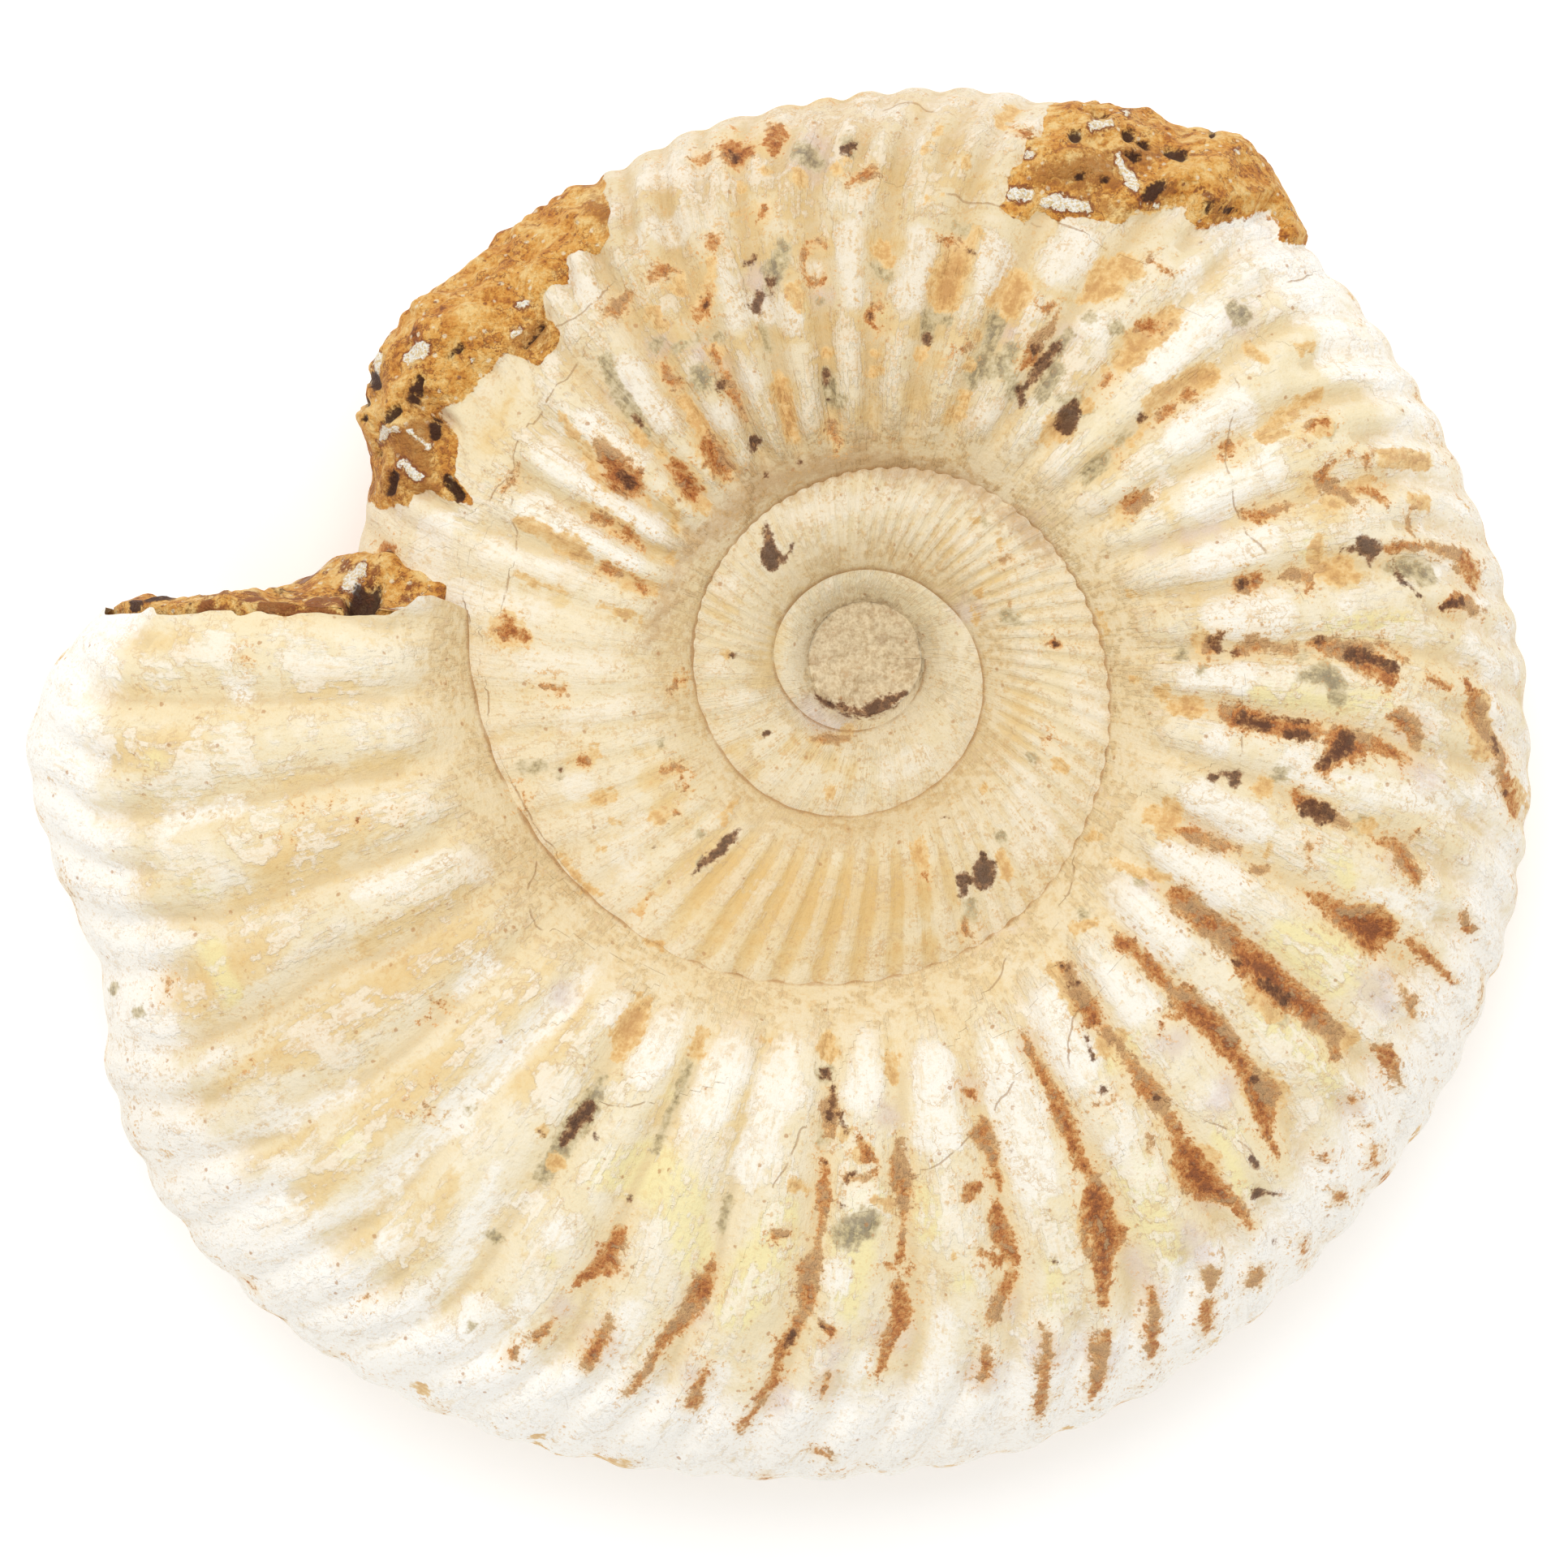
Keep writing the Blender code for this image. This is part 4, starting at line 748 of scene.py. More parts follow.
def section(angle, across):
    """The bare shell's share, side, radius, height and outward normal, all as if on the upper side."""
    share = np.where(across <= 1, across, 2 - across)
    side = np.where(across <= 1, 1.0, -1.0)
    step = 0.004
    low, high = np.clip(share - step, 0, 1), np.clip(share + step, 0, 1)
    own_seam = seam_height(angle)
    span = rim_radius(angle) - seam_radius(angle)
    rise = flank_height(angle, high, own_seam) - flank_height(angle, low, own_seam)
    run = (high - low) * span
    length = np.hypot(rise, run)
    radius = seam_radius(angle) + share * span
    return share, side, radius, flank_height(angle, share, own_seam), -rise / length, run / length


def settled(x, y, z):
    """From the coil's own axis and mid-plane to where the fossil lies, worn flat where it rests. In mm."""
    height = z + MID_HEIGHT + LEAN[0] * x + LEAN[1] * y
    return np.stack([x + AXIS[0], y + AXIS[1], np.maximum(height, 0)], axis=-1)


# ---------------------------------------------------------------- where the marks are

def seen(x, y, z):
    """Where the camera sees each place on the coil, in mm from the coil's axis as the picture has it."""
    places = settled(x, y, z)
    nearer = SEEN_FROM / (SEEN_FROM + SEEN_LEVEL - places[..., 2])
    return places[..., 0] * nearer - AXIS[0], places[..., 1] * nearer - AXIS[1]


def corners_of(points):
    """The plane places, in mm from the axis, of (direction, mm) points, with what else each point says."""
    return [
        (mm * math.cos(math.radians(direction)), mm * math.sin(math.radians(direction)), *rest)
        for direction, mm, *rest in points
    ]


def from_side(x, y, one, other):
    """How far along the line from one corner to the other each place lies, 0 to 1, and how far from it."""
    run_x, run_y = other[0] - one[0], other[1] - one[1]
    length = max(math.hypot(run_x, run_y), 1e-6)
    along = np.clip(((x - one[0]) * run_x + (y - one[1]) * run_y) / length**2, 0, 1)
    left = (run_x * (y - one[1]) - run_y * (x - one[0])) >= 0
    return along, np.hypot(x - one[0] - along * run_x, y - one[1] - along * run_y), left


def line_distance(x, y, points):
    """Distance in mm to a line of (direction, mm) points, positive on its left."""
    corners = corners_of(points)
    best = np.full(np.shape(x), 99.0)
    for one, other in zip(corners, corners[1:]):
        _, far, left = from_side(x, y, one, other)
        best = np.where(far < np.abs(best), np.where(left, far, -far), best)
    return best


def stroke_depth(x, y, strokes, reach):
    """How many mm each place is inside the nearest of the strokes, from minus reach to reach."""
    depth = np.full(np.shape(x), -reach)
    for stroke in strokes:
        corners = np.array(corners_of(stroke))
        room = corners[:, 2].max() + reach
        near = (x > corners[:, 0].min() - room) & (x < corners[:, 0].max() + room)
        near &= (y > corners[:, 1].min() - room) & (y < corners[:, 1].max() + room)
        near_x, near_y = x[near], y[near]
        for one, other in zip(corners, corners[1:] if len(corners) > 1 else corners):
            along, far, _ = from_side(near_x, near_y, one, other)
            depth[near] = np.maximum(depth[near], one[2] + (other[2] - one[2]) * along - far)
    return np.minimum(depth, reach)


def outline_depth(x, y, points):
    """How many mm each place is inside a closed outline of (direction, mm) points, negative outside."""
    corners = corners_of(points)
    nearest = np.full(np.shape(x), 99.0)
    inside = np.zeros(np.shape(x), bool)
    for one, other in zip(corners, corners[1:] + corners[:1]):
        _, far, left = from_side(x, y, one, other)
        nearest = np.minimum(nearest, far)
        inside ^= ((one[1] > y) != (other[1] > y)) & (left == (other[1] > one[1]))
    return np.where(inside, nearest, -nearest)


def rock_depth(x, y, angle, points):
    """Distance in mm inside the rock on the rim, negative outside it."""
    depth = np.maximum(*(outline_depth(x, y, outline) for outline in ROCK_OUTLINES))
    depth = np.where(angle < SECOND_WHORL, depth, -9.0)
    low_down = 1 - ease(-7, 1, points[..., 2])
    return depth + layered(points, ROCK_RAGGED, 31) + layered(points, VENTER_RAGGED, 33) * low_down


def further_round(angle, share):
    """The place on the upper flank whose marks each place of the underside has."""
    last = angle < SECOND_WHORL
    counts = straight_curve(RIB_COUNT, np.where(last, angle, MOUTH)) + UNDERSIDE_RIBS
    first, final = RIB_COUNT[1][1], RIB_COUNT[-2][1]
    counts = first + (counts - first) % (final - first)
    place = np.where(last, np.interp(counts, *np.array(RIB_COUNT, float).T[::-1]), angle + TURN / 4)
    _, _, radius, height, _, _ = section(place, 2 - share)
    return seen(radius * np.cos(np.radians(place)), radius * np.sin(np.radians(place)), height)


def marks(x, y, points):
    """How deep each place lies in every kind of mark, as a part of that kind's reach."""
    fields = {}
    for kinds, reach in ((STAINS, STAIN_REACH), (WASHES, WASH_REACH)):
        for kind, strokes in kinds.items():
            fields[kind] = stroke_depth(x, y, strokes, reach) / reach
    wander = layered(points, [(3.0, 0.35), (1.0, 0.2)], 17)
    crack = np.full(np.shape(x), 99.0)
    for line in CRACKS:
        far = line_distance(x, y, line) + wander
        crack = np.where(np.abs(far) < np.abs(crack), far, crack)
    fields["crack"] = np.clip(crack / LINE_REACH, -1, 1)
    fields["hole"] = stroke_depth(x, y, HOLES, STAIN_REACH) / STAIN_REACH
    fields["bit"] = stroke_depth(x, y, SHELL_BITS, STAIN_REACH) / STAIN_REACH
    return fields


# ---------------------------------------------------------------- meshes

def grid_normals(points):
    """Normals of a grid of points, on the side from which its rows run up and its columns to the left."""
    along = np.gradient(points, axis=1)
    across = np.gradient(points, axis=0)
    normal = np.cross(across, along)
    return normal / np.maximum(np.linalg.norm(normal, axis=-1, keepdims=True), 1e-12)


def grid_piece(name, points, normals, fields, material, flip=False):
    """A mesh object of a grid of points in mm, with its marks as attributes and its own normals."""
    rows, columns = points.shape[:2]
    places = np.clip(points.reshape(-1, 3) * MM, np.array(cad_low), np.array(cad_high))
    corner = (np.arange(rows - 1)[:, None] * columns + np.arange(columns - 1)[None, :]).ravel()
    quads = np.stack([corner, corner + columns, corner + columns + 1, corner + 1], axis=1)
    if flip:
        quads = quads[:, ::-1]
        normals = -normals
    mesh = bpy.data.meshes.new(name)
    mesh.vertices.add(len(places))
    mesh.vertices.foreach_set("co", places.astype(np.float32).ravel())
    mesh.loops.add(quads.size)
    mesh.loops.foreach_set("vertex_index", quads.astype(np.int32).ravel())
    mesh.polygons.add(len(quads))
    mesh.polygons.foreach_set("loop_start", np.arange(0, quads.size, 4, dtype=np.int32))
    mesh.polygons.foreach_set("loop_total", np.full(len(quads), 4, dtype=np.int32))
    mesh.update(calc_edges=True)
    for kind, value in fields.items():
        vector = value.ndim == 3
        attribute = mesh.attributes.new(kind, "FLOAT_VECTOR" if vector else "FLOAT", "POINT")
        attribute.data.foreach_set("vector" if vector else "value", value.astype(np.float32).ravel())
    mesh.shade_smooth()
    mesh.normals_split_custom_set_from_vertices(normals.reshape(-1, 3).tolist())
    mesh.materials.append(material)
    piece = bpy.data.objects.new(name, mesh)
    bpy.context.scene.collection.objects.link(piece)
    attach(piece, "root")
    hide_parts("ammonite")
    return piece


def even_columns(first, last, count, radius_of):
    """Spiral angles between two angles, evenly spaced along the coil's length rather than its angle."""
    angle = np.linspace(first, last, 4000)
    length = np.cumsum(radius_of(angle))
    return np.interp(np.linspace(length[0], length[-1], count), length, angle)


def shell_grid(angle, across):
    """Points, normals and marks of the shell at a grid of spiral angles and places across the whorl."""
    share, side, radius, height, outward, upward = section(angle, across)
    cosine, sine = np.cos(np.radians(angle)), np.sin(np.radians(angle))
    bare = np.stack([radius * cosine, radius * sine, height * side], axis=-1)
    x, y = seen(*np.moveaxis(bare, -1, 0))
    turned = np.degrees(np.arctan2(bare[..., 0] * y - bare[..., 1] * x, bare[..., 0] * x + bare[..., 1] * y))
    last, older, within = rib_place(angle + turned, share)
    wander = noise(bare, 6.0, 1) * RIB_WANDER * (1 - ease(600, 700, angle))
    inner = ease(512, SECOND_WHORL, angle)
    strength = 1 + 0.3 * noise(bare, 9.0, 2)
    smooth = ease(-1.2, 0.8, stroke_depth(x, y, [SMOOTH_SHELL], WASH_REACH))
    smooth = smooth * (side > 0) * (angle < SECOND_WHORL)
    forked = ease(FORK_START, FORK_END, share)
    outer_ribs = rib_relief(last + wander, forked)
    lower_rim = 1 + (RIM_RIB_SHARE - 1) * ease(0.75, 1.0, share)
    outer_height = RIB_HEIGHT * ease(RIB_START, RIB_FULL, share) * lower_rim
    inner_ribs = rib_relief(older + wander, 0) * straight_curve(INNER_RIB_STRENGTH, angle)
    inner_height = INNER_RIB_HEIGHT * ease(0.03, 0.3, within)
    rib = outer_ribs * outer_height * (1 - inner) + inner_ribs * inner_height * inner
    rib = rib * strength * (1 - smooth)
    depth = rock_depth(x, y, angle, bare)
    rock = ease(*ROCK_EDGE, depth)
    reach = rock_reach(angle, share) * rock
    lumps = rock * (ROCK_BULK + layered(bare, ROCK_LUMPS, 21) * ease(0, 2.5, depth))
    beyond = radius + outward * (lumps - ROCK_INSET * rock) + reach * np.maximum(outward, 0) ** 0.5
    above = height + upward * lumps + reach * ROCK_LIFT * upward
    x, y = seen(beyond * cosine, beyond * sine, above * side)
    fields = marks(x, y, bare)
    under = across > 1
    if under.any():
        further = marks(*further_round(angle[under], across[under]), bare[under])
        gone = ease(1.0, 1.1, across[under])
        for kind, values in further.items():
            if kind != "crack":
                values = np.maximum(fields[kind][under] - 2 * gone, values - 2 + 2 * gone)
            fields[kind][under] = values
    venter = ease(0.85, 1.0, across) * (1 - ease(1.1, 1.4, across)) * (1 - inner)
    for kind, size, amount, seed in VENTER_MARKS:
        fields[kind] = np.maximum(fields[kind], noise(bare, size, seed) * amount - 0.75 - 2 * (1 - venter))
    hole = ease(-0.15, 0.25, fields["hole"]) * HOLE_DEPTH
    swells = layered(bare, SWELLS, 11) * ease(0.02, 0.12, share) * (1 - 0.5 * ease(700, 1000, angle))
    push = rib * (1 - rock) + swells
    push += rock * (ease(-0.1, 0.15, fields["bit"]) * BIT_HEIGHT - hole)
    radius = beyond + outward * push
    height = above + upward * push - SEAM_DIP * (1 - ease(0.0, 0.03, share)) * (angle < CORE_START)
    points = settled(radius * cosine, radius * sine, height * side)
    relief = outer_ribs + (inner_ribs - outer_ribs) * inner
    fields["relief"] = relief * (1 - rock) * (1 - smooth) * ease(RIB_START, RIB_FULL, share)
    fields["tan"] = np.clip(fields["tan"] - 0.25 * inner_ribs * inner * (fields["tan"] > -0.9), -1, 1)
    # How far each place lies from the bottom of a groove, where a line of painted shade is drawn
    count = last + wander
    step = np.where(forked > 0.5, 2, 1)
    from_groove = np.abs(count * step - np.round(count * step)) / step * np.radians(GROOVE_SPACING) * radius
    from_groove = np.where(inner > 0.5, GROOVE_REACH, from_groove)
    fields["groove"] = np.clip(from_groove / GROOVE_REACH + 1 - ease(0.1, 0.2, share) + smooth, 0, 1)
    fields["rock"] = np.clip(0.5 + depth / 2, 0, 1)
    fields["wall"] = (1 - ease(0.05, 0.2, share)) * (1 - 0.75 * ease(800, 950, angle))
    # Painted light: the rim is whitened most just short of the venter, to undo the shade where it turns away
    # from the key light
    rim = ease(0.7, 0.95, across) * (1 - 0.75 * ease(0.96, 1.08, across)) * (1 - ease(1.08, 1.25, across))
    fields["rim"] = rim * straight_curve(PAINTED_RIM_LIGHT, angle) * (1 - inner)
    # Painted shade by spiral angle, which also sets the tan lace
    fields["painted_shade_and_lace"] = straight_curve(PAINTED_SHADE_AND_LACE, angle)
    from_seam = share * (rim_radius(angle) - seam_radius(angle)) / LINE_REACH
    fields["seam"] = np.where(angle < CORE_START, np.clip(from_seam, 0, 1), 1.0)
    fields["inner"] = inner
    fields["core"] = np.clip((CORE_REACH - radius) / 2, -1, 1)
    swept = angle - (1 - inner) * straight_curve(RIB_SWEEP, share) - inner * INNER_RIB_SWEEP * (within - 0.5)
    fields["grain"] = np.stack([np.radians(swept) * GRAIN_RADIUS, radius, height], axis=-1)
    return points, fields


def cut(fields, rows, columns):
    """The same marks on some of the rows and columns."""
    return {kind: value[rows, columns] for kind, value in fields.items()}


def plain_fields(like, **values):
    """The fields that place ribs, walls and rock, at rest but for the values given."""
    resting = {
        "relief": 0.0, "groove": 1.0, "rock": 0.0, "wall": 0.0, "rim": 0.0, "seam": 1.0, "core": -1.0,
        "inner": 0.0, "painted_shade_and_lace": 0.0,
    }
    return {kind: like * 0 + value for kind, value in {**resting, **values}.items()}


def last_whorl(material):
    """Both flanks of the last whorl, which meet on the rim."""
    columns = even_columns(MOUTH, SECOND_WHORL, LAST_COLUMNS, rim_radius)
    seam_part, flank_part = UPPER_ROWS
    upper = np.concatenate([
        np.linspace(0, SHOULDER, seam_part, endpoint=False),
        SHOULDER + (1 - SHOULDER) * np.sin(np.linspace(0, np.pi / 2, flank_part)),
    ])
    seam_part, flank_part = LOWER_ROWS
    lower = np.concatenate([
        SHOULDER + (1 - SHOULDER) * np.sin(np.linspace(np.pi / 2, 0, flank_part)),
        np.linspace(SHOULDER, 0, seam_part + 1)[1:],
    ])
    across = np.concatenate([upper, 2 - lower[1:]])
    share = np.minimum(across, 2 - across)[:, None]
    angle = columns[None, :] + np.zeros_like(share)
    ends = ease(0, 12, angle - MOUTH) * ease(0, 12, SECOND_WHORL - angle)
    angle = angle + straight_curve(RIB_SWEEP, share) * ends
    ragged = noise(np.stack([share * 20, share * 0, share * 0], axis=-1), 0.8, 9) * MOUTH_RAGGED
    ragged = np.degrees(ragged / rim_radius(MOUTH)) * ease(0, 0.2, share)
    beyond = straight_curve(MOUTH_EDGE, share) * (across[:, None] < 1) - MOUTH_SLANT * ease(0.2, 1, share)
    angle = angle + (ragged - beyond) * (1 - ease(0, 8, angle - MOUTH))
    points, fields = shell_grid(angle, across[:, None] + np.zeros_like(angle))
    normals = grid_normals(points)
    rim_row = len(upper)
    steps = (LAST_COLUMNS - 1) // UPPER_PARTS
    for part in range(UPPER_PARTS):
        rows, window = slice(0, rim_row), slice(part * steps, (part + 1) * steps + 1)
        grid_piece(f"last_whorl_upper_{part + 1}", points[rows, window], normals[rows, window],
                   cut(fields, rows, window), material)
    rows, window = slice(rim_row - 1, None), slice(None)
    grid_piece("last_whorl_lower", points[rows], normals[rows], cut(fields, rows, window), material)


def older_whorls(material):
    """The older whorls, on both sides, out to the seam of the last whorl."""
    columns = even_columns(SECOND_WHORL, COIL_END, INNER_COLUMNS, seam_radius)
    reach = seam_share(columns) + SEAM_LAP / (rim_radius(columns) - seam_radius(columns))
    sides = (("older_whorls_upper", INNER_UPPER_ROWS, 1), ("older_whorls_lower", INNER_LOWER_ROWS, -1))
    for name, rows, side in sides:
        across = np.linspace(0, 1, rows)[:, None] * reach[None, :]
        angle = columns[None, :] + np.zeros_like(across)
        place = across if side > 0 else 2 - across
        points, fields = shell_grid(angle, place)
        grid_piece(name, points, grid_normals(points), fields, material, flip=side < 0)


def core(material):
    """The rough, sunken middle of the coil, on both sides."""
    turn = np.linspace(0, 360, CORE_SPOKES + 1)[None, :]
    ring = np.linspace(0.0, 1.12, CORE_RINGS)[:, None]
    for name, side in (("core_upper", 1), ("core_lower", -1)):
        along_edge = np.stack([turn / 9, turn * 0, turn * 0], axis=-1) + 0 * ring[..., None]
        radius = CORE_EDGE * ring * (1 + CORE_UNEVENNESS * noise(along_edge, 5.0, 43))
        x, y = radius * np.cos(np.radians(turn)), radius * np.sin(np.radians(turn))
        bare = np.stack([x, y, np.full_like(x, side * CORE_HEIGHT)], axis=-1)
        lump = layered(bare, CORE_LUMPS, 41) * (1 - ease(0.9, 1.1, ring))
        height = CORE_HEIGHT - CORE_SINK * (1 - ring**2) + lump - CORE_LAP * ease(0.98, 1.1, ring)
        points = settled(x, y, side * height)
        normals = grid_normals(points)
        fields = marks(*seen(x, y, side * height), bare)
        fields.update(plain_fields(x, core=np.clip((CORE_REACH - radius) / 2, -1, 1), inner=1.0))
        fields["grain"] = bare
        grid_piece(name, points, normals, fields, material, flip=side < 0)


def mouth_rock(material):
    """The rough rock in the broken mouth, between the last whorl's section and that of the whorl before."""
    turn = np.linspace(0, 1, MOUTH_COLUMNS)
    spread = 1 - np.cos(turn * np.pi)
    outer_across = spread
    meeting = float(seam_share(np.array([SECOND_WHORL]))[0])
    inner_across = meeting + (2 - 2 * meeting) * spread / 2
    sections = []
    for angle, across in ((MOUTH, outer_across), (SECOND_WHORL, inner_across)):
        _, side, radius, height, outward, upward = section(np.full(across.shape, angle), across)
        radius = radius - MOUTH_INSET * outward
        height = height - MOUTH_INSET * upward
        cosine, sine = math.cos(math.radians(angle)), math.sin(math.radians(angle))
        sections.append(np.stack([radius * cosine, radius * sine, height * side], axis=-1))
    outer, inner = sections
    down = np.linspace(-0.1, 1, MOUTH_ROWS)[:, None, None]
    out = np.array([math.sin(math.radians(MOUTH)), -math.cos(math.radians(MOUTH)), 0.0])
    flat = outer[None] + (inner[None] - outer[None]) * np.maximum(down, 0)
    flat = flat + out * np.minimum(down, 0) * MOUTH_LAP
    broken_off = ease(0, 2, straight_curve(MOUTH_EDGE, outer_across))
    sunk = MOUTH_SINK * (1 - ease(0, 0.06, down[..., 0])) + MOUTH_SINK * broken_off
    flat[..., 2] -= sunk * np.cos(np.pi * turn)
    swell = smooth_curve(MOUTH_FILL, down[..., 0]) * np.sin(np.pi * turn)[None, :]
    rough = layered(flat, MOUTH_LUMPS, 51) * np.minimum(1, swell)
    to_rim = ease(0.2, 1, np.minimum(outer_across, 2 - outer_across))
    slant = math.radians(MOUTH_SLANT) * float(rim_radius(MOUTH)) * to_rim
    swell = swell - slant * (1 - np.maximum(down[..., 0], 0))
    x, y = seen(*np.moveaxis(flat + out * swell[..., None], -1, 0))
    below_edge = np.where(turn > 0.5, MOUTH_BITS_END[1], outer[None, :, 2] - flat[..., 2])
    pits = stroke_depth(x, y, HOLES, STAIN_REACH) - 2 * STAIN_REACH * ease(*MOUTH_HOLES_END, below_edge)
    bare = flat + out * (swell + rough - MOUTH_HOLE_DEPTH * ease(-0.3, 0.6, pits))[..., None]
    points = settled(bare[..., 0], bare[..., 1], bare[..., 2])
    points[..., 2] = np.maximum(points[..., 2], MOUTH_CLEAR)
    normals = grid_normals(points)
    fields = {kind: np.full(points.shape[:2], -1.0) for kind in (*STAINS, *WASHES)}
    fields["hole"] = np.maximum(pits / STAIN_REACH, noise(flat, 2.2, 61) - 0.62)
    bits = stroke_depth(x, y, SHELL_BITS, STAIN_REACH) - 2 * STAIN_REACH * ease(*MOUTH_BITS_END, below_edge)
    fields["bit"] = np.maximum(bits / STAIN_REACH, layered(flat, [(2.6, 0.8), (1.1, 0.5)], 62) - 0.8)
    fields["umber_and_wall_shade"] = noise(flat, 5.0, 63) * 0.8 - 0.5
    fields["rust"] = layered(flat, [(3.2, 0.7), (1.3, 0.4)], 64) - 0.4
    fields.update(plain_fields(points[..., 0], rock=1.0))
    fields["crack"] = fields["rock"]
    fields["grain"] = flat
    grid_piece("mouth_rock", points, normals, fields, material)


# ---------------------------------------------------------------- materials

def tone(red, green, blue):
    """A colour of the surface from its screen values, 0 to 255."""
    def linear(value):
        value /= 255
        return value / 12.92 if value <= 0.04045 else ((value + 0.055) / 1.055) ** 2.4
    return (linear(red), linear(green), linear(blue), 1.0)


class Wiring:
    """Makes and joins the shader nodes of one material."""

    def __init__(self, name):
        self.material = bpy.data.materials.new(name)
        self.material.use_nodes = True
        self.tree = self.material.node_tree
        self.shader = self.tree.nodes["Principled BSDF"]

    def put(self, socket, value):
        if isinstance(value, bpy.types.NodeSocket):
            self.tree.links.new(value, socket)
        else:
            socket.default_value = value

    def node(self, kind, inputs, **settings):
        made = self.tree.nodes.new(kind)
        for name, value in settings.items():
            setattr(made, name, value)
        for key, value in inputs.items():
            self.put(made.inputs[key], value)
        return made

    def math(self, operation, one, other=0.0):
        return self.node("ShaderNodeMath", {0: one, 1: other}, operation=operation).outputs[0]

    def times(self, one, other):
        return self.math("MULTIPLY", one, other)

    def attribute(self, name, output="Fac"):
        return self.node("ShaderNodeAttribute", {}, attribute_name=name).outputs[output]

    def noise(self, place, size, detail=3.0, roughness=0.55, distortion=0.0):
        inputs = {"Vector": place, "Scale": 1 / size, "Detail": detail, "Roughness": roughness,
                  "Distortion": distortion}
        return self.node("ShaderNodeTexNoise", inputs).outputs["Fac"]

    def cells(self, place, size):
        inputs = {"Vector": place, "Scale": 1 / size}
        return self.node("ShaderNodeTexVoronoi", inputs, feature="F1").outputs["Distance"]

    def span(self, value, low, high, start=0.0, end=1.0):
        """From start, where value is low, smoothly to end, where it is high."""
        inputs = {"Value": value, "From Min": low, "From Max": high, "To Min": start, "To Max": end}
        return self.node("ShaderNodeMapRange", inputs, interpolation_type="SMOOTHSTEP").outputs[0]

    def mix(self, amount, one, other, blend="MIX"):
        made = self.node("ShaderNodeMix", {}, data_type="RGBA", blend_type=blend)
        self.put(made.inputs[0], amount)
        self.put(made.inputs[6], one)
        self.put(made.inputs[7], other)
        return made.outputs[2]

    def stretched(self, place, sizes):
        """The place, with its three parts divided by these sizes."""
        parts = tuple(1 / size for size in sizes)
        return self.node("ShaderNodeVectorMath", {0: place, 1: parts}, operation="MULTIPLY").outputs[0]

    def around(self, value, *waves):
        """The value, shifted by each (noise, amount) about the noise's middle."""
        for wave, amount in waves:
            inputs = {0: wave, 1: amount, 2: value}
            value = self.node("ShaderNodeMath", inputs, operation="MULTIPLY_ADD").outputs[0]
        return self.math("SUBTRACT", value, 0.5 * sum(amount for _, amount in waves))

    def ramp(self, value, low, high, levels):
        """The colour for a value, where levels gives (0 at low to 1 at high, colour)."""
        made = self.node("ShaderNodeValToRGB", {0: self.span(value, low, high)})
        stops = made.color_ramp.elements
        stops[0].position, stops[0].color = levels[0]
        stops[1].position, stops[1].color = levels[-1]
        for place, shade in levels[1:-1]:
            stops.new(place).color = shade
        return made.outputs[0]


IVORY = tone(237, 226, 200)
CREAM = tone(232, 217, 181)
TAN_LEVELS = [(0.0, tone(232, 211, 166)), (0.5, tone(228, 201, 147)), (1.0, tone(224, 188, 122))]
STRAW = tone(237, 224, 168)
CHALK = tone(244, 239, 227)
SHELL_WHITE = tone(250, 246, 234)
# Painted light: the white the rim is brightened towards
PAINTED_RIM_LIGHT_COLOUR = tone(250, 247, 240)
WALL_TAN = tone(226, 201, 154)
SEAM_BROWN = tone(178, 132, 82)
# Painted shade: the thin line in the groove bottoms
GROOVE_PAINTED_SHADE = tone(212, 188, 144)
FLAKE_EDGE = tone(212, 182, 140)
VIOLET_HAZE = tone(214, 196, 190)
RUST_LEVELS = [(0.0, tone(228, 184, 126)), (0.3, tone(214, 156, 94)), (0.55, tone(198, 126, 64)),
               (0.8, tone(172, 98, 46)), (1.0, tone(138, 76, 42))]
RUST_TAN = tone(210, 178, 130)
# Umber patches, and the painted shade on the top of the umbilical wall
UMBER_AND_WALL_SHADE = tone(186, 144, 98)
ROCK_UMBER = tone(170, 112, 54)
OCHRE_LEVELS = [(0.0, tone(232, 202, 148)), (0.5, tone(220, 178, 114)), (1.0, tone(196, 146, 86))]
DARK_LEVELS = [(0.0, tone(186, 142, 96)), (0.45, tone(140, 94, 60)), (1.0, tone(96, 62, 44))]
GREY_LEVELS = [(0.0, tone(214, 199, 165)), (0.5, tone(188, 170, 128)), (1.0, tone(126, 112, 86))]
CRACK_BROWN = tone(170, 128, 86)
SPECK_BROWN = tone(184, 134, 86)
CORE_LEVELS = [(0.0, tone(224, 204, 168)), (0.5, tone(204, 182, 144)), (1.0, tone(176, 148, 112))]
LACE_TAN = tone(206, 166, 110)
# Painted shade: the tint the shell is multiplied by where it is darkened
PAINTED_SHADE_TINT = tone(236, 228, 215)
RIDGE_CREAM = tone(240, 225, 192)
SPOT_RED = tone(140, 78, 42)
ROCK_LEVELS = [(0.0, tone(242, 206, 138)), (0.35, tone(229, 172, 88)), (0.65, tone(211, 142, 58)),
               (0.88, tone(174, 104, 44)), (1.0, tone(122, 70, 36))]
# Painted shade: the near-black brown inside the holes of the rock
HOLE_PAINTED_SHADE = tone(64, 36, 24)
FLOOR_WHITE = (0.98, 0.98, 0.98, 1.0)
# The floor glows a little, so that the fossil's shadow stays as pale as it is in the photo
FLOOR_GLOW = 0.15


